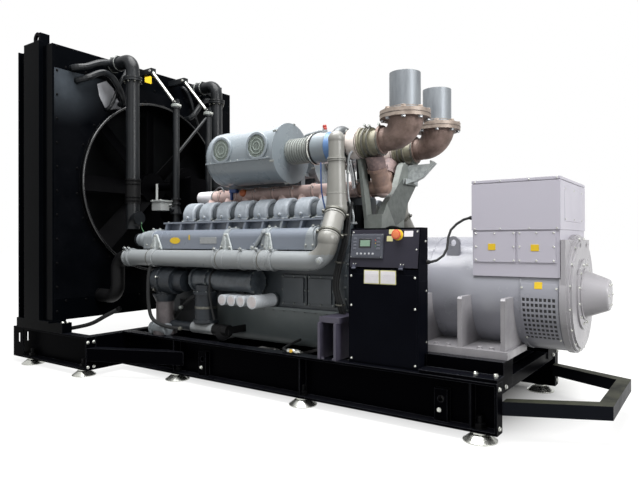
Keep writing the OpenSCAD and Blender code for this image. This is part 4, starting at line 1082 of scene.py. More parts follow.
    def charge_fittings(self) -> None:
        """Adds the clamps and bosses of the charge pipes and the bolts of the charge air boxes."""
        made = Piece("charge_pipe_fittings", "engine_paint")
        r = self.charge_r
        for side in SIDES:
            y = side * self.charge_y
            for x in (-1487, -1427, -251, 54, 229, 382):
                made.ring(TUBE_PAINT, (x, y, self.charge_z), X, r + 9, r + 13, 12)
                ear = Vector((x, y, self.charge_z)) + Vector((0, side * 50, 82))
                out = (0, side * 0.5, 0.85)
                made.plate(TUBE_PAINT, ear, out, 20, 34, 16, 3, 2, up=X)
                made.bolt(ZINC_DULL, ear + Vector((0, 8 * side, 15)), out, 8)
            boss = (0.35, side, 0)
            made.turned(TUBE_PAINT, (868, side * 772, 1104), boss, ((26, -20), (26, 16), (20, 20)), 20)
            made.turned(ZINC_DULL, (875, side * 791, 1104), boss, ((12, -2), (12, 8)), 6)
            for x in self.rib_places:
                made.bolts(ZINC_DULL, [(x, side * 560, 1373), (x, side * 640, 1373)], Z, 12)
                made.bolts(ZINC_DULL, [(x - 34, side * 692, 1222), (x + 34, side * 692, 1222)], side * Y, 10)
            made.bolts(ZINC_DULL, around((-1300, side * 590, 1272), X, 76, 6), -X, 9)
            for x, low, high in ((-1091, -74, 86), (-168, -72, 72), (304, -44, 52)):
                foot = [(low, 0), (high, 0), (high - 6, 26), (20, 142), (-20, 142), (low + 6, 26)]
                face = [(u * 0.92, 6 + v * 0.93) for u, v in foot]
                made.slab(BRACKET_PAINT, (x, side * 684, 1180), side * Y, (foot, foot, face), (0, 12, 16))
                rib = [(-9, 4), (9, 4), (7, 120), (-7, 120)]
                made.slab(BRACKET_PAINT, (x, side * 698, 1180), side * Y, (rib, rib), (0, 16))
                for dx, z in ((low + 22, 1200), (high - 22, 1200), (0, 1306)):
                    made.bolt(ZINC_DULL, (x + dx, side * 700, z), side * Y, 13)
                made.ring(TUBE_PAINT, (x, y, self.charge_z), X, r + 1, r + 9, 74)
                made.ring(CLAMP_STEEL, (x - 46, y, self.charge_z), X, r + 1, r + 7, 10)
            link = Vector((148, side * 690, 1196))
            made.tube(CAST_PAINT, [link, (196, side * 700, 1240), (262, side * 690, 1336)], 13, 8, 3)
            made.turned(CAST_PAINT, link, (0.2, side, 0.2), ((30, -12), (30, 14), (22, 20)), 16)
            made.bolt(ZINC_DULL, link + Vector((4, side * 20, 4)), (0.2, side, 0.2), 12)
            made.turned(CAST_PAINT, (262, side * 690, 1330), (0.2, side, 0.4),
                        ((20, -12), (20, 12), (14, 17)), 16)
        made.done()

    def riser_clamps(self) -> None:
        """Adds the couplings with their bolts on the charge pipes' risers."""
        made = Piece("riser_couplings", "engine_paint")
        x, y = self.riser
        for side in SIDES:
            knee = Vector((x, side * y, 1505))
            ankle = Vector((905, side * 700, 1270))
            way = (knee - ankle).normalized()
            for share in (0.16, 0.84):
                at = ankle.lerp(knee, share)
                made.ring(CLAMP_STEEL, at, way, self.charge_r + 1, self.charge_r + 13, 20)
                made.ring(WARM_PAINT, at - 22 * way, way, self.charge_r, self.charge_r + 8, 16)
                for at_ear in around(at, way, self.charge_r + 18, 2, 200):
                    made.plate(CLAMP_STEEL, at_ear - 6 * way, way, 34, 26, 14, 4, 2, up=at_ear - at)
                    made.bolt(ZINC_DULL, at_ear + 8 * way, way, 9)
            made.ring(WARM_PAINT, knee + 120 * Z, Z, 72, 79, 10)
            for z, inner, outer, width in ((1893, 70, 76, 8), (1878, 62, 74, 6)):
                made.ring(WARM_PAINT, (x, side * y, z), Z, inner, outer, width)
        made.done()

    def lubrication(self) -> None:
        """Adds the strap, bolts and hoses round the oil cooler, pump and filters."""
        made = Piece("oil_fittings", "sump_paint")
        y, z = self.cooler
        made.ring(RUBBER, (-398, y, z), X, 91, 96, 24)
        made.tube(RUBBER, [(-392, -664, 880), (-396, -668, 800), (-380, -660, 700), (-352, -650, 560)], 11, 8)
        for x, way in ((-660, -X), (-452, X), (90, X)):
            made.bolts(BLOCK_BOLT, around((x, y, z), X, 99, 10, 18), way, 9)
        made.bolts(BLOCK_BOLT, around((*self.canister, 802), Z, 107, 8), Z, 8)
        made.ring(CLAMP_STEEL, (*self.canister, 660), Z, 99, 103, 22)
        made.bolts(BLOCK_BOLT, around((-1095, -640, self.shaft_z), X, 112, 8, 10), -X, 10)
        made.turned(ZINC, (-985, -775, 925), (0, -1, 0.2), ((10, -30), (10, 8), (6, 12)), 12)
        made.turned(CLAMP_STEEL, (-1060, -745, 800), -Y, ((11, -30), (11, 6), (7, 10)), 12)
        made.turned(CAST_PAINT, (-1118, -700, 434), X,
                    ((30, 0), (64, 0), (64, 14), (47, 18), (47, 196), (56, 198), (56, 212), (40, 216)), 28)
        made.bolts(BLOCK_BOLT, around((-1104, -700, 434), X, 56, 6), X, 7)
        made.turned(HOSE_GLOSS, (-258, -640, 452), (0.5, -1, 0),
                    ((40, -24), (64, -16), (68, 0), (64, 20), (40, 26)), 32)
        z = self.filter_z
        for x, r in self.filters:
            made.ring(FILTER_PAINT, (x, -726, z), Y, r - 4, r + 1, 5)
            made.turned(BLOCK_PAINT, (x, -self.case_y, z), -Y, ((r + 7, 0), (r + 7, 34), (r + 2, 40)), 24)
            made.turned(FILTER_END, (x, -729, z), -Y, ((r - 9, 0), (r - 11, 3.5), (r - 20, 3.5)), 28)
        made.done()

    def plumbing(self) -> None:
        """Adds the small hoses, pipes and the sump's drain valve."""
        made = Piece("small_hoses", "hose_rubber")
        made.tube(RUBBER, [(-1112, -735, 1022), (-1110, -760, 940), (-1104, -772, 800), (-1096, -774, 680),
                           (-1066, -772, 560), (-990, -765, 500), (-860, -745, 468), (-720, -730, 462)], 17)
        made.turned(CLAMP_STEEL, (-722, -730, 462), X, ((14, -4), (18, 0), (18, 26), (12, 30)), 6)
        made.tube(RUBBER, [(-1270, -300, 640), (-1180, -420, 560), (-1040, -520, 520), (-900, -560, 600),
                           (-760, -590, 700), (-640, -600, 760)], 20)
        made.turned(CASTING_GREY, (-800, -640, 640), (0.3, -1, 0),
                    ((10, -30), (16, -24), (16, 14), (10, 20)), 12)
        for side in SIDES:
            made.tube(RUBBER, [(-2140, side * 1015, 368), (-2050, side * 1000, 380), (-1802, side * 925, 438),
                               (-1640, side * 870, 520), (-1500, side * 820, 592)], 20)
            made.turned(BLACK_BOLT, (-1506, side * 822, 590), (0.9, side * -0.2, 0.4),
                        ((18, 0), (25, 4), (25, 34), (16, 40)), 6)
        made.tube(CABLE_GREEN, [(-1390, -600, 1350), (-1400, -620, 1400), (-1372, -640, 1440)], 5, 6)
        made.done()
        valve = Piece("sump_drain_valve", "zinc_feet")
        x, y, z = self.drain_valve
        valve.turned(ZINC, (x, y, z), X, ((12, 0), (17, 3), (17, 26), (12, 30)), 6)
        valve.turned(ZINC, (x + 29, y, z), X, ((13, 0), (19, 14), (19, 34), (13, 48)), 18)
        valve.turned(ZINC, (x + 77, y, z), X, ((17, 0), (17, 24), (11, 30), (11, 50)), 6)
        valve.turned(CAP_YELLOW, (x + 52, y - 14, z), (0, -1, 0.3),
                     ((8, 0), (8, 8), (15, 10), (15, 16), (6, 19)), 16)
        valve.tube(RUBBER, [(x, y, z), (x - 40, y + 8, z + 1), (x - 80, y + 60, z + 4),
                            (x - 90, y + 180, z + 20), (x - 92, y + 290, z + 34)], 11, 10, 3)
        valve.done()

    def harness(self) -> None:
        """Adds the black cables beside the flywheel housing and the front beam under the gear case."""
        made = Piece("engine_cables", "cable_rubber")
        route = ((930, -430, 1560), (922, -446, 1470), (930, -480, 1370), (936, -520, 1240),
                 (905, -545, 1090), (868, -545, 910), (905, -540, 760), (930, -520, 640))
        for dx, dy, radius in ((0, 0, 15), (28, 14, 11), (-26, -8, 10)):
            made.tube(RUBBER, [(x + dx, y - dy, z) for x, y, z in route], radius, 8, 4)
        for x, y, z in ((932, -500, 1304), (905, -545, 1090), (905, -540, 760)):
            made.ring(CLAMP_STEEL, (x, y, z), (0.1, 0, 1), 36, 40, 12)
        made.done()
        beam = Piece("front_beam", "sump_paint")
        beam.plate(BLOCK_PAINT, (-1210, 0, 500), -X, 780, 180, 40, 30, 4)
        beam.bolts(BLOCK_BOLT, [(-1250, y, 560) for y in (-330, -200, 200, 330)], -X, 18)
        beam.done()

    def labels(self) -> None:
        """Adds the blank plates on the near charge air box."""
        made = Piece("blank_plates", "engine_paint")
        face = self.label_y
        oval = [(70 * math.cos(t), 30 * math.sin(t)) for t in (math.tau * i / 32 for i in range(32))]
        made.slab(LABEL_YELLOW, (-832, face, 1262), -Y, (oval, oval), (0, 1.5))
        made.plate(PLATE_GREY, (-396, face, 1262), -Y, 210, 58, 3, 10, 1.5)
        made.bolts(ZINC_DULL, [(x, face - 3, 1262) for x in (-490, -302)], -Y, 3)
        made.plate(LABEL_YELLOW, (-640, face, 1290), -Y, 16, 46, 1, 2, 0.4)
        made.done()

    def valley(self) -> None:
        """Adds what lies between the banks: caps, wires, the drums' rails, and a dark block behind as painted
        shade.
        """
        made = Piece("valley_fittings", "manifold_iron")
        made.turned(STICKER_WHITE, (-1088, -105, 1700), X, ((60, -8), (64, -2), (64, 205), (62.5, 207)), 32)
        made.ring(ZINC_DULL, (-878, -105, 1700), X, 60, 70, 12)
        made.plate(CAP_BLUE, (-556, -168, 1742), -Y, 88, 34, 40, 6, 4)
        made.plate(CAP_BLUE, (-588, -168, 1700), -Y, 20, 90, 30, 5, 3)
        made.turned(CAP_ORANGE, (-452, -150, 1716), (0, -1, 0.25), ((26, 0), (36, 6), (36, 30), (28, 38)), 20)
        made.turned(CAP_YELLOW, (-452, -132, 1706), (0, -0.4, 1), ((26, 0), (26, 44), (18, 50)), 14)
        made.tube(CABLE_GREY, [(-860, -140, 1762), (-800, -150, 1792), (-745, -160, 1786),
                               (-700, -170, 1744)], 6, 8)
        made.tube(CABLE_BLUE, [(712, -520, 1880), (716, -524, 1780), (718, -520, 1660), (728, -505, 1560),
                               (736, -492, 1506)], 6, 8)
        made.done()
        rails = Piece("drum_rails_and_shade_block", "engine_paint")
        for side in SIDES:
            rails.plate(BLOCK_PAINT, (-290, side * 122, 1812), side * Y, 960, 92, 14, 6, 3)
            rails.bolts(BLOCK_BOLT, [(x, side * 136, 1838) for x in (-700, -326, 130)], side * Y, 12)
        # A dark block of painted shade, filling the shadow below the manifolds at the engine's end.
        rails.plate(BLOCK_PAINT, (720, 0, 1450), Z, 320, 170, 178, 20, 12, up=Y)
        rails.done()

    def build(self) -> None:
        """Makes the whole sub-assembly."""
        self.dress()
        self.cover_bolts()
        self.head_bolts()
        self.side_bolts()
        self.charge_fittings()
        self.riser_clamps()
        self.lubrication()
        self.plumbing()
        self.harness()
        self.labels()
        self.valley()


# ---------------------------------------------------------------- exhaust and turbochargers


@dataclass
class Exhaust:
    """Manifolds, turbochargers, elbows and stubs: finishes and fasteners. Sizes in millimetres."""

    turbo_y: float = 300.0
    turbo_z: float = 2040.0
    stub_x: float = 1345.0
    flange_low: float = 2182.0
    flange_high: float = 2242.0
    bolt_circle: float = 171.0
    gasket_z: float = 2212.0
    soot_z: float = 2224.0
    weld_z: float = 2266.0
    oil_x: float = 846.0
    riser_from: float = 842.0
    toasted_z: tuple[float, float] = (1640, 1836)
    compressor_to: float = 845.0
    wrap: tuple[float, float] = (864, 966)
    joint_x: float = -783.0
    joint_pitch: float = 228.0
    joints: int = 8
    manifold_y: float = 105.0
    manifold_z: float = 1700.0

    def dress(self) -> None:
        """Gives the hot parts their finishes, by zone along the turbochargers."""
        low, high = self.toasted_z
        dress("exhaust_manifolds", MANIFOLD_PAINT,
              (RISER_TAN, lambda at, way: at.x > self.riser_from and low < at.z < high),
              (RISER_PAINT, lambda at, way: at.x > self.riser_from and at.z >= high))
        dress("turbo_stand", CASTING_GREY,
              (BRACKET_PAINT, lambda at, way: at.x > 1086 and at.z > 1700),
              (LEG_PAINT, lambda at, way: at.x > 1020 and 1480 < at.z < 1760))
        first, last = self.wrap
        dress("turbochargers", CAST_PAINT,
              (BARE_ALUMINIUM, lambda at, way: at.x < self.compressor_to),
              (CREAM_WRAP, lambda at, way: first < at.x < last),
              (OLIVE_IRON, lambda at, way: at.x > last))
        dress("exhaust_elbows", HEATED_IRON,
              (FLANGE_TAN, lambda at, way: self.flange_low - 1 < at.z and abs(way.z) < 0.3))
        dress("exhaust_stubs", MILL_STEEL, (FLANGE_TAN, lambda at, way: at.z < self.flange_high + 1))

    def flange_bolts(self) -> None:
        """Adds the bolts through the big flanges, the gasket's edge, the weld and the soot."""
        made = Piece("exhaust_flange_bolts", "stub_steel")
        for side in SIDES:
            middle = Vector((self.stub_x, side * self.turbo_y, 0))
            for at in around(middle, Z, self.bolt_circle, 8, -22.5):
                made.bolt(FLANGE_TAN, at + self.flange_high * Z, Z, 22)
                made.bolt(MACHINED, at + self.flange_low * Z, -Z, 19)
            made.ring(DARK_IRON, middle + self.gasket_z * Z, Z, 190, 196.5, 5)
            made.ring(WELD_BEAD, middle + self.weld_z * Z, Z, 118, 128, 10)
            made.turned(SOOT, middle + self.soot_z * Z, Z, ((112, 0), (112, 6), (110, 8)), 40)
        made.done()

    def turbo_fasteners(self) -> None:
        """Adds the band clamps, cover screws and oil lines of the turbochargers."""
        made = Piece("turbo_fasteners", "turbo_iron")
        screw_way = (0, 1, -0.35)
        oil = self.oil_x
        for side in SIDES:
            y = side * self.turbo_y
            for at in around((740, y, self.turbo_z), X, 124, 12, 15):
                made.bolt(ZINC_DULL, at, -X, 8)
                made.turned(ZINC_DULL, at, X, ((9, -3), (9, 5), (7, 7)), 6)
            for x, r in ((852, 96), (1020, 119), (1062, 112), (1148, 113)):
                made.ring(CLAMP_STEEL, (x, y, self.turbo_z), X, r - 4, r + 3, 14)
                ear = Vector((x, y - 40, self.turbo_z + math.sqrt((r + 10) ** 2 - 1600)))
                made.turned(ZINC_DULL, ear - Vector((0, 24, -6)), screw_way, ((7, 0), (7, 56), (5, 58)), 12)
                made.turned(ZINC_DULL, ear - Vector((0, 26, -7)), screw_way, ((11, 0), (11, 9)), 6)
            for x in (871, 959):
                made.ring(DARK_IRON, (x, y, self.turbo_z), X, 121, 124, 6)
            made.bolts(ZINC_DULL, around((1138, y, self.turbo_z), X, 103, 10), -X, 9)
            made.turned(BARE_ALUMINIUM, (oil, y, self.turbo_z + 78), Z, ((24, -10), (24, 12), (15, 16)), 16)
            made.tube(MACHINED, [(oil, y, self.turbo_z + 88), (oil, y * 0.96, self.turbo_z + 122),
                                 (oil, y * 0.7, self.turbo_z + 110), (oil, y * 0.42, self.turbo_z),
                                 (oil, y * 0.4, 1860), (oil, y * 0.4, 1762)], 9, 10)
            made.turned(BARE_ALUMINIUM, (oil, y, self.turbo_z - 72), -Z, ((32, -8), (32, 10), (26, 12)), 16)
            made.tube(MACHINED, [(oil, y, self.turbo_z - 78), (oil, y * 0.98, 1900), (oil, y * 0.84, 1800),
                                 (oil, y * 0.76, 1690)], 20, 12)
        made.done()
        # The two near black plates here are painted shade, filling the shadow behind the thin pipe; the hoses
        # are black rubber.
        shield = Piece("turbo_hoses_and_shade_plates", "turbo_iron")
        shield.plate(BLACK_BOLT, (893, -150, 1862), -Y, 122, 236, 16, 12, 3)
        for x in (862, 906):
            shield.tube(RUBBER, [(x, -210, 1985), (x, -196, 1930), (x, -190, 1850), (x, -186, 1752)], 17, 12)
            shield.turned(ZINC_DULL, (x, -186, 1744), Z, ((21, 0), (21, 20), (18, 24)), 6)
        shield.plate(BLACK_BOLT, (880, -196, 1445), X, 170, 210, 14, 10, 2)
        shield.done()

    def manifold_bolts(self) -> None:
        """Adds the clamp bolts on the manifolds' joints."""
        made = Piece("exhaust_manifold_bolts", "manifold_iron")
        for side in SIDES:
            for i in range(self.joints):
                joint = (self.joint_x + self.joint_pitch * i, side * self.manifold_y, self.manifold_z)
                for at in around(joint, X, 64, 6, 30):
                    if at.z > self.manifold_z - 10:
                        made.bolt(MACHINED, at + 17 * X, X, 9)
                        made.bolt(MACHINED, at - 17 * X, -X, 9)
                made.ring(HEATED_IRON, joint, X, 70, 73.5, 5)
        made.done()

    def thin_pipe(self) -> None:
        """Adds the bent pipe that drops from the near turbine to the engine's end."""
        made = Piece("pale_drain_pipe", "engine_paint")
        route = ((934, -404, 1966), (914, -422, 1920), (905, -424, 1820), (904, -424, 1697),
                 (916, -432, 1600), (944, -440, 1530), (966, -440, 1450), (964, -438, 1400))
        made.tube(TUBE_PAINT, route, 9, 12)
        made.ring(ZINC_DULL, (905, -424, 1800), Z, 8, 14, 26)
        made.plate(TUBE_PAINT, (966, -440, 1398), -Z, 60, 44, 12, 12, 2)
        made.bolts(ZINC_DULL, [(946, -440, 1398), (988, -440, 1398)], Z, 8)
        made.done()

    def build(self) -> None:
        """Makes the whole sub-assembly."""
        self.dress()
        self.flange_bolts()
        self.turbo_fasteners()
        self.manifold_bolts()
        self.thin_pipe()


# ---------------------------------------------------------------- air cleaners


@dataclass
class AirCleaners:
    """Air cleaner drums and ducts: finishes, mesh, latches and clamps. Sizes in millimetres."""

    drum_y: float = 300.0
    drum_z: float = 2022.0
    drum_r: float = 250.0
    duct_z: float = 2034.0
    mouth_z: float = 2072.0
    mouths: tuple[float, ...] = (-359.0, 62.0)
    hose_to: float = 481.0
    band: tuple[float, float] = (664, 724)
    mouth_y: float = 556.0
    mouth_r: float = 97.0
    mesh_pitch: float = 9.0
    wires: int = 10

    def dress(self) -> None:
        """Gives the drums and the ducts their finishes."""
        dress("air_cleaners", DRUM_PAINT)
        first, last = self.band
        dress("air_ducts", DRUM_PAINT,
              (HOSE_GREY, lambda at, way: at.x < self.hose_to),
              (BAND_BLUE, lambda at, way: first < at.x < last and abs(way.x) < 0.7))

    def inlet_mesh(self) -> None:
        """Adds the woven wire in the inlets' mouths, with the dark space behind it."""
        made = Piece("inlet_mesh", "grille_steel")
        reach = self.mouth_r
        for side in SIDES:
            for x in self.mouths:
                middle = Vector((x, side * self.mouth_y, self.mouth_z))
                back = ((reach, -3), (reach, 0), (0.5, 0.4))
                made.turned(MESH_BACK, middle - side * 4 * Y, side * Y, back, 40)
                for i in range(-self.wires, self.wires + 1):
                    off = i * self.mesh_pitch
                    half = math.sqrt(reach * reach - off * off)
                    for ends in (((off, -half), (off, half)), ((-half, off), (half, off))):
                        made.tube(MESH_WIRE, [middle + Vector((u, 0, v)) for u, v in ends], 1.5, 4, 1)
                for radius in (36, 66):
                    made.ring(MESH_WIRE, middle + side * 2 * Y, Y, radius - 3, radius + 3, 4)
                made.ring(DRUM_PAINT, middle + side * 3 * Y, Y, 97.5, 109.5, 5, 48)
                made.bolts(ZINC_DULL, around(middle + side * 5 * Y, Y, 103.5, 4, 45), side * Y, 4)
                made.ring(DRUM_PAINT, middle - side * 7 * Y, Y, 106, 121, 24, 48)
        made.done()

    def drum_latches(self) -> None:
        """Adds the latches, bands, end caps and bolts of the drums."""
        made = Piece("drum_latches", "engine_paint")
        for side in SIDES:
            y = side * self.drum_y
            middle = Vector((226, y, self.drum_z))
            for at in around(middle, X, self.drum_r + 15, 6, 20):
                out = (at - middle).normalized()
                upright = Y if abs(out.z) > 0.5 else Z
                made.plate(ZINC_DULL, at - 2 * out, out, 46, 20, 6, 4, 1.5, up=upright)
                made.turned(ZINC_DULL, at + 7 * out - 16 * X, X, ((4, 0), (4, 32)), 10)
            made.ring(DRUM_PAINT, (-478, y, self.drum_z), X, self.drum_r - 2, self.drum_r + 3, 12, 64)
            made.bolts(ZINC_DULL, [(x, side * 553, self.drum_z - 54) for x in range(-500, 181, 85)], Z, 7)
            made.turned(DRUM_PAINT, (-596, y, self.drum_z), -X, ((60, -22), (60, -4), (22, 0), (20, 0)), 32)
            for x in (-326, 130):
                made.bolts(ZINC_DULL, [(x, side * 120, 1890), (x, side * 180, 1890)], Z, 12)
        made.done()

    def duct_clamps(self) -> None:
        """Adds the clamps on the ducts and the capped senders with their pipe."""
        made = Piece("duct_clamps", "zinc_feet")
        for side in SIDES:
            y = side * self.drum_y
            for x in (250, 472):
                made.clamp(ZINC, (x, y, self.duct_z), X, 101, 13, (0, side * 0.4, 1))
            made.ring(RUBBER, (506, y, self.duct_z), X, 117, 131, 42, 40)
            made.clamp(ZINC, (506, y, self.duct_z), X, 131, 14, (0, side, 0.5))
            made.ring(DRUM_PAINT, (660, y, self.duct_z), X, 126, 131, 10, 48)
            made.turned(CAST_PAINT, (584, y - side * 20, 2158), Z,
                        ((26, -14), (26, 14), (18, 22), (18, 46), (13, 52)), 20)
            made.turned(CAP_RED, (584, y - side * 20, 2208), Z, ((15, 0), (17, 4), (17, 22), (12, 28)), 16)
            made.turned(CAST_PAINT, (626, y + side * 30, 2152), Z, ((18, -14), (18, 22), (13, 28)), 16)
            made.turned(CAP_RED, (626, y + side * 30, 2178), Z, ((12, 0), (14, 4), (14, 18), (10, 22)), 16)
            made.tube(CAST_PAINT, [(584, y - side * 20, 2178), (540, y - side * 18, 2186),
                                   (470, y - side * 10, 2176), (408, y, 2164), (380, y, 2140)], 10, 10)
        made.done()

    def build(self) -> None:
        """Makes the whole sub-assembly."""
        self.dress()
        self.inlet_mesh()
        self.drum_latches()
        self.duct_clamps()


# ---------------------------------------------------------------- alternator


@dataclass
class Alternator:
    """Alternator with its terminal box: finishes, painted shade behind the holes, bolts and seams. Sizes in
    millimetres.
    """

    shaft_z: float = 888.0
    frame_r: float = 395.0
    shield_x: float = 2532.0
    cover_y: float = 396.0
    box_top: float = 1666.0
    box_screws_x: tuple[float, ...] = (1925, 2100, 2290, 2462)
    covers_x: tuple[tuple[float, float], ...] = ((1919, 2200), (2214, 2454))
    holes: tuple[tuple[float, float], ...] = ((-103, 1223), (103, 1223), (-201, 1050), (201, 1050))
    screen_r: tuple[float, float] = (397, 394)
    screen_x: tuple[float, float] = (2240, 2460)

    def dress(self) -> None:
        """Gives the frame, the shields and the box their finishes."""
        for node in ("alternator_frame", "inlet_grilles"):
            dress(node, ALTERNATOR_PAINT)
        dress("alternator_feet", FOOT_PAINT)
        for node in ("alternator_end_shield", "exciter_cover"):
            dress(node, SHIELD_PAINT)
        dress("terminal_box", BOX_PAINT)
        dress("control_cable", RUBBER)

    def grille_backing(self) -> None:
        """Adds dark sheets that close the air holes from behind, painted shade for the alternator's inside.
        """
        made = Piece("grille_shade_backing", "grille_steel")
        outer, inner = self.screen_r
        arc = [math.radians(-2 + 51 * i / 17) for i in range(18)]
        bent = [(outer, t) for t in arc] + [(inner, t) for t in reversed(arc)]
        for side in SIDES:
            made.skin(HOLE_SHADE, [[Vector((x, side * r * math.cos(t), self.shaft_z - r * math.sin(t)))
                                     for r, t in bent] for x in self.screen_x])
        made.done()

    def frame_bolts(self) -> None:
        """Adds the bolts of the rings, feet, grilles and end shield."""
        made = Piece("alternator_bolts", "alternator_paint")
        for at in around((1318, 0, self.shaft_z), X, self.frame_r + 10, 24, 7.5):
            made.turned(ZINC, at, X, ((9, -3), (9, 9), (7, 11)), 6)
        for x, radius, count, first_deg, size in ((self.shield_x, 381, 16, 11.25, 9), (2556, 204, 12, 15, 10),
                                                  (2712, 78, 6, 0, 8)):
            made.bolts(ZINC, around((x, 0, self.shaft_z), X, radius, count, first_deg), X, size)
        for side in SIDES:
            made.bolts(FOOT_PAINT, [(x, side * 548, 540) for x in (1700, 1790, 2010, 2090)], Z, 20)
            for x in (2240, 2458):
                for angle in (8, -46):
                    a = math.radians(angle)
                    out = Vector((0, side * math.cos(a), math.sin(a)))
                    made.bolt(ZINC, Vector((x, 0, self.shaft_z)) + (self.frame_r + 4) * out, out, 9)
        made.done()

    def frame_seams(self) -> None:
        """Adds the welds round the frame and the machined holes of the end shield, with discs of painted
        shade in them.
        """
        made = Piece("alternator_welds", "alternator_paint")
        for x in (1322, 1560, 2226):
            made.ring(ALTERNATOR_PAINT, (x, 0, self.shaft_z), X, self.frame_r - 2, self.frame_r + 3, 9, 96)
        for y, z in self.holes:
            made.ring(SHIELD_PAINT, (2545, y, z), X, 13, 19, 5, 20)
            made.turned(HOLE_SHADE, (2543, y, z), X, ((13.5, 0), (13.5, 3)), 20)
        made.ring(SHIELD_PAINT, (2560, 0, self.shaft_z), X, 160, 176, 9, 64)
        made.done()

    def box_screws(self) -> None:
        """Adds the screws of the terminal box and the gland of the control cable."""
        made = Piece("terminal_box_screws", "box_paint")
        for side in SIDES:
            y = side * self.cover_y
            for x0, x1 in self.covers_x:
                middle = (x0 + x1) / 2
                places = [(x, y, z) for x in (x0 + 12, middle, x1 - 12) for z in (1121, 1303)]
                made.bolts(ZINC, places, side * Y, 6)
                made.bolts(ZINC, [(x, y, 1212) for x in (x0 + 12, x1 - 12)], side * Y, 6)
            for z in (1657, 1334):
                made.bolts(ZINC, [(x, side * 399, z) for x in self.box_screws_x], side * Y, 5)
        made.bolts(ZINC, [(x, y, self.box_top) for x in (1925, 2193, 2462) for y in (-375, 0, 375)], Z, 7)
        made.plate(BOX_PAINT, (1903, -250, 1500), -X, 180, 120, 3, 8, 1.5)
        made.bolts(ZINC, [(1900, -250 + y, 1500 + z) for y in (-78, 78) for z in (-48, 48)], -X, 6)
        made.plate(BOX_PAINT, (2484, 0, 1495), X, 560, 230, 2, 10, 1.5)
        made.bolts(ZINC, [(2485, y, z) for y in (-265, 0, 265) for z in (1395, 1595)], X, 6)
        made.turned(RUBBER, (1903, -380, 1413), -X, ((15, -2), (15, 10), (12, 22), (10, 24)), 12)
        made.done()

    def labels(self) -> None:
        """Adds the blank yellow labels on the cover plates and on the frame."""
        made = Piece("blank_yellow_labels", "alternator_paint")
        for x, z in ((2042, 1211), (2325, 1206)):
            made.plate(LABEL_YELLOW, (x, -self.cover_y - 0.2, z), -Y, 52, 44, 1.6, 5, 0.5)
        a = math.radians(10.5)
        out = Vector((0, -math.cos(a), math.sin(a)))
        made.plate(LABEL_YELLOW, Vector((2345, 0, self.shaft_z)) + 397.5 * out, out, 50, 46, 4, 5, 0.5)
        made.done()

    def build(self) -> None:
        """Makes the whole sub-assembly."""
        self.dress()
        self.grille_backing()
        self.frame_bolts()
        self.frame_seams()
        self.box_screws()
        self.labels()


# ---------------------------------------------------------------- control cabinet


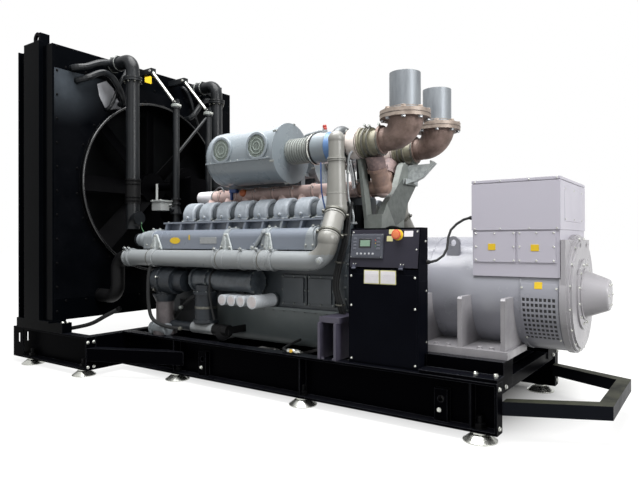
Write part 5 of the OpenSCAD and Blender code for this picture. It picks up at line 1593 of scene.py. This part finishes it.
@dataclass
class ControlCabinet:
    """Black cabinet with its sloping instrument door. Sizes in millimetres."""

    x0: float = 1110.0
    x1: float = 1663.0
    front: float = -741.0
    slope_z: float = 1056.0
    lean: float = 38.0
    top: float = 1345.0
    controller: tuple[float, float, float, float] = (14, 75, 262, 174)
    foil_out: float = 15.2
    stop: tuple[float, float] = (385, 240)
    hinges: tuple[float, float] = (30, 408)
    labels_x: tuple[float, float] = (1302.5, 1432.5)

    def slope(self) -> tuple[Vector, Vector]:
        """Returns the way up the sloping face and the way out of it."""
        up = Vector((0, self.lean, self.top - self.slope_z)).normalized()
        return up, X.cross(up)

    def on_slope(self, across: float, up: float, out: float = 0.0) -> Vector:
        """Finds a place on the sloping face.

        Args:
            across: Distance from the cabinet's left side.
            up: Distance up the slope.
            out: Distance out of the face.

        Returns:
            The place.
        """
        rise, normal = self.slope()
        return Vector((self.x0 + across, self.front, self.slope_z)) + up * rise + out * normal

    def dress(self) -> None:
        """Gives the cabinet, the door, the controller and the stop button their finishes."""
        dress("control_cabinet", POWDER_COAT)
        dress("instrument_door", DOOR_COAT, (HINGE_STEEL, lambda at, way: self.is_hinge(at)))
        dress("engine_controller", CONTROLLER_FACE)
        dress("stop_button", STOP_NYLON)

    def is_hinge(self, at: Vector) -> bool:
        """Tells whether a face of the door belongs to a hinge's leaf."""
        return at.y < self.front - 3 and at.z < self.slope_z + 34

    def sheet(self, piece: Piece, finish: Finish, left: float, low: float, width: float, height: float,
              out: float, depth: float, corner: float) -> None:
        """Lays a plate on the sloping face.

        Args:
            piece: The piece that takes it.
            finish: Its finish.
            left: Its left side from the cabinet's left side.
            low: Its lower side up the slope.
            width: Its width.
            height: Its height.
            out: Height of its back above the face.
            depth: Its thickness.
            corner: Its corner radius.
        """
        rise, normal = self.slope()
        middle = self.on_slope(left + width / 2, low + height / 2, out)
        piece.plate(finish, middle, normal, width, height, depth, corner, min(1.0, depth * 0.4), up=rise)

    def controller_face(self) -> None:
        """Adds the screen, keys and lamps of the controller."""
        made = Piece("controller_keys", "controller_plastic", Body.DOOR)
        x, y, width, height = self.controller
        out = self.foil_out
        normal = self.slope()[1]
        self.sheet(made, BEZEL, x + 10, y + 10, width - 20, height - 20, 13.8, 1.6, 8)
        self.sheet(made, BEZEL_DARK, x + 68, y + 72, 104, 68, out, 1.6, 5)
        self.sheet(made, SCREEN_GREEN, x + 80, y + 84, 80, 44, 16.4, 0.8, 1.5)
        for i in range(5):
            self.sheet(made, KEY_PALE, x + 52 + i * 32, y + 24, 14, 14, out, 3.0, 4)
        for i in range(4):
            self.sheet(made, KEY_DARK, x + 22, y + 60 + i * 24, 26, 14, out, 2.2, 3)
            self.sheet(made, KEY_DARK, x + 214, y + 60 + i * 24, 26, 14, out, 2.2, 3)
        for i, lens in enumerate((KEY_GREEN, LABEL_YELLOW, STOP_NYLON)):
            at = self.on_slope(x + 204, y + 84 + i * 22, out)
            made.turned(lens, at, normal, ((3.4, 0), (3.4, 1.6), (2.2, 2.6)), 16)
        for dx in (8, width - 8):
            for dy in (8, height - 8):
                at = self.on_slope(x + dx, y + dy, 13.5)
                made.turned(ZINC_DULL, at, normal, ((4, 0), (4, 1.6), (3, 2.2)), 12)
        made.done()

    def stop_collar(self) -> None:
        """Adds the collar, guard plate and grip ring of the emergency stop."""
        made = Piece("stop_collar", "stop_plastic", Body.DOOR)
        x, y = self.stop
        normal = self.slope()[1]
        made.turned(LABEL_YELLOW, self.on_slope(x, y), normal, ((38, -0.5), (38, 1.2), (37, 1.8)), 36)
        made.ring(BEZEL_DARK, self.on_slope(x, y, 8), normal, 14.5, 22, 13)
        made.ring(CAP_ORANGE, self.on_slope(x, y, 32), normal, 31, 34.5, 9)
        dome = ((27, 0), (26, 2.6), (14, 4.2), (4, 4.6))
        made.turned(CAP_ORANGE, self.on_slope(x, y, 37), normal, dome, 32)
        made.done()

    def door_labels(self) -> None:
        """Adds the blank labels, hinge plates and screws of the door."""
        made = Piece("door_labels", "cabinet_paint", Body.DOOR)
        normal = self.slope()[1]
        self.sheet(made, LABEL_PALE, 312, 247, 42, 33, 0, 1.2, 4)
        self.sheet(made, LABEL_PALE, 298, 196, 48, 38, 0, 1.2, 4)
        self.sheet(made, STICKER_WHITE, 430, 228, 68, 40, 0, 1.2, 3)
        for across in self.hinges:
            self.sheet(made, DOOR_COAT, across, 27, 40, 16, 0, 2.6, 4)
            for dx in (10, 30):
                at = self.on_slope(across + dx, 35, 2.2)
                made.turned(ZINC, at, normal, ((4.2, 0), (4.2, 1.4), (3, 2.2)), 12)
        for across in (24, 529):
            for up in (262, 140):
                made.turned(ZINC, self.on_slope(across, up), normal, ((6, -0.5), (6, 2), (4.6, 3.4)), 16)
        made.done()

    def cabinet_cover(self) -> None:
        """Adds the front cover, the blank double label and the screws of the cabinet."""
        made = Piece("cabinet_cover", "cabinet_paint")
        middle = (self.x0 + self.x1) / 2
        face = self.front - 3
        made.plate(POWDER_COAT, (middle, self.front + 0.5, 706), -Y, 529, 628, 3.5, 6, 1.5)
        for x in self.labels_x:
            made.plate(LABEL_PALE, (x, face + 0.4, 1000), -Y, 125, 98, 1.2, 4, 0.4)
            made.plate(STICKER_WHITE, (x, face - 1.2, 1000), -Y, 113, 86, 0.8, 3, 0.3)
        for z in (1004, 793, 412):
            made.bolts(ZINC, [(x, face, z) for x in (self.x0 + 24, self.x1 - 26)], -Y, 7)
        for y, z in ((-633, 1250), (-627, 910), (-627, 560)):
            for x, out in ((self.x1, X), (self.x0, -X)):
                made.bolt(ZINC, (x, y, z), out, 8)
        made.turned(RUBBER, (self.x1, -610, 1108), X, ((16, -2), (16, 10), (12, 22), (10.5, 24)), 12)
        made.plate(POWDER_COAT, (self.x1, -669, 700), X, 112, 560, 2, 6, 1)
        made.done()

    def build(self) -> None:
        """Makes the whole sub-assembly."""
        self.dress()
        self.controller_face()
        self.stop_collar()
        self.door_labels()
        self.cabinet_cover()


# ---------------------------------------------------------------- studio


@dataclass
class Studio:
    """Camera, lamps, floor and the white surroundings."""

    eye: Point = (3.315, -4.241, 1.25)
    yaw_deg: float = 35.13
    pitch_deg: float = 0.16
    roll_deg: float = 0.13
    lens_mm: float = 32.11
    sensor_mm: float = 36.0
    clip_m: float = 200.0
    sky_light: float = 0.14
    floor_half: float = 60.0
    floor_glow: float = 0.86
    glow_fade: tuple[float, float] = (4.5, 8.0)
    shade_at: Point = (0.35, 0.4, 0.0)
    shade_long: tuple[float, float] = (1.4, 2.2)
    shade_wide: tuple[float, float] = (0.5, 1.25)

    def camera(self) -> None:
        """Sets the camera at standing eye height, turned towards the radiator."""
        data = bpy.data.cameras.new("camera")
        data.lens = self.lens_mm
        data.sensor_width = self.sensor_mm
        data.clip_end = self.clip_m
        eye = bpy.data.objects.new("camera", data)
        turn = (Matrix.Rotation(math.radians(self.yaw_deg), 4, "Z")
                @ Matrix.Rotation(math.radians(90 + self.pitch_deg), 4, "X")
                @ Matrix.Rotation(math.radians(-self.roll_deg), 4, "Z"))
        eye.matrix_world = Matrix.Translation(self.eye) @ turn
        bpy.context.scene.collection.objects.link(eye)
        bpy.context.scene.camera = eye

    def seen(self, tree: bpy.types.NodeTree) -> bpy.types.NodeSocket:
        """Tells rays that are looked along from rays that only carry light.

        Args:
            tree: The tree that takes the nodes.

        Returns:
            One for camera, glossy and transmission rays, zero for the rest.
        """
        path = add(tree, "LightPath")
        direct = add(tree, "Math", {0: path.outputs["Is Camera Ray"], 1: path.outputs["Is Glossy Ray"]},
                     operation="MAXIMUM")
        return add(tree, "Math", {0: direct, 1: path.outputs["Is Transmission Ray"]},
                   operation="MAXIMUM").outputs[0]

    def world(self) -> None:
        """Makes the surroundings white to look at and softer as a light."""
        world = bpy.data.worlds.new("studio")
        world.use_nodes = True
        tree = world.node_tree
        tree.nodes.clear()
        light = add(tree, "Background", Color=WHITE, Strength=self.sky_light)
        white = add(tree, "Background", Color=WHITE, Strength=1.0)
        mixed = add(tree, "MixShader", {0: self.seen(tree), 1: light, 2: white})
        add(tree, "OutputWorld", {"Surface": mixed})
        bpy.context.scene.world = world

    def lamp(self, name: str, at: Point, to: Point, size: float, watts: float) -> None:
        """Adds a square area lamp.

        Args:
            name: The lamp's name.
            at: Where it stands.
            to: The point that it faces.
            size: Side of its square.
            watts: Its power.
        """
        data = bpy.data.lights.new(name, "AREA")
        data.size = size
        data.energy = watts
        lamp = bpy.data.objects.new(name, data)
        lamp.location = at
        lamp.rotation_mode = "QUATERNION"
        lamp.rotation_quaternion = (Vector(to) - Vector(at)).to_track_quat("-Z", "Y")
        bpy.context.scene.collection.objects.link(lamp)

    def floor(self) -> None:
        """Lays a pale floor that looks white and keeps the shadow."""
        mesh = bpy.data.meshes.new("floor")
        h = self.floor_half
        mesh.from_pydata([(-h, -h, 0), (h, -h, 0), (h, h, 0), (-h, h, 0)], [], [(0, 1, 2, 3)])
        mesh.materials.append(self.floor_paint())
        floor = bpy.data.objects.new("floor", mesh)
        bpy.context.scene.collection.objects.link(floor)

    def floor_paint(self) -> bpy.types.Material:
        """Makes the floor's paint: matt grey, with a glow that fades under the machine's middle as a painted
        shadow.

        Returns:
            The material.
        """
        made = bpy.data.materials.new("pale_floor")
        made.use_nodes = True
        tree = made.node_tree
        tree.nodes.clear()
        place = add(tree, "TexCoord").outputs["Object"]
        grain = add(tree, "TexNoise", {"Vector": place}, Scale=3.0, Detail=4.0)
        tint = add(tree, "MixRGB", {"Fac": grain.outputs["Fac"]}, Color1=linear("#7A7A78"),
                   Color2=linear("#80807E"))
        paint = add(tree, "BsdfDiffuse", {"Color": tint})
        away = add(tree, "VectorMath", {0: place}, operation="LENGTH")
        level = add(tree, "MapRange", {"Value": away.outputs["Value"]}, From_Min=self.glow_fade[0],
                    From_Max=self.glow_fade[1], To_Min=self.floor_glow, To_Max=1.0)
        under = add(tree, "VectorMath", {0: place}, operation="SUBTRACT")
        under.inputs[1].default_value = self.shade_at
        apart = add(tree, "VectorMath", {0: under}, operation="ABSOLUTE")
        across = add(tree, "SeparateXYZ", {0: apart})
        long, wide = (
            add(tree, "MapRange", {"Value": across.outputs[way]}, From_Min=near, From_Max=far, To_Min=1.0,
                To_Max=0.0, interpolation_type="SMOOTHSTEP")
            for way, (near, far) in (("X", self.shade_long), ("Y", self.shade_wide)))
        shade = add(tree, "Math", {0: long, 1: wide}, operation="MULTIPLY")
        lit = add(tree, "Math", {0: self.seen(tree), 1: level}, operation="MULTIPLY")
        taken = add(tree, "Math", {0: lit, 1: shade}, operation="MULTIPLY")
        shown = add(tree, "Math", {0: lit, 1: taken}, operation="SUBTRACT")
        glow = add(tree, "Emission", {"Strength": shown}, Color=WHITE)
        both = add(tree, "AddShader", {0: paint, 1: glow})
        add(tree, "OutputMaterial", {"Surface": both})
        return made

    def build(self) -> None:
        """Makes the whole studio."""
        bpy.context.scene.view_settings.view_transform = "Standard"
        self.camera()
        self.world()
        self.floor()
        self.lamp("top", (0.5, -1.2, 7.5), to=(0.2, 0.0, 1.0), size=6.0, watts=1130)
        self.lamp("right", (9.5, -2.0, 4.5), to=(1.0, 0.0, 1.2), size=4.0, watts=620)
        self.lamp("front", (3.0, -9.0, 5.0), to=(0.4, 0.0, 1.2), size=5.0, watts=130)
        LOG.info("studio ready")


def main() -> None:
    """Builds the studio and every sub-assembly in order."""
    logging.basicConfig(level=logging.INFO, format="%(message)s")
    for part in (Studio(), BaseFrame(), Radiator(), Engine(), Exhaust(), AirCleaners(), Alternator(),
                 ControlCabinet()):
        LOG.info("building %s", type(part).__name__)
        part.build()


if __name__ == "__main__":
    main()
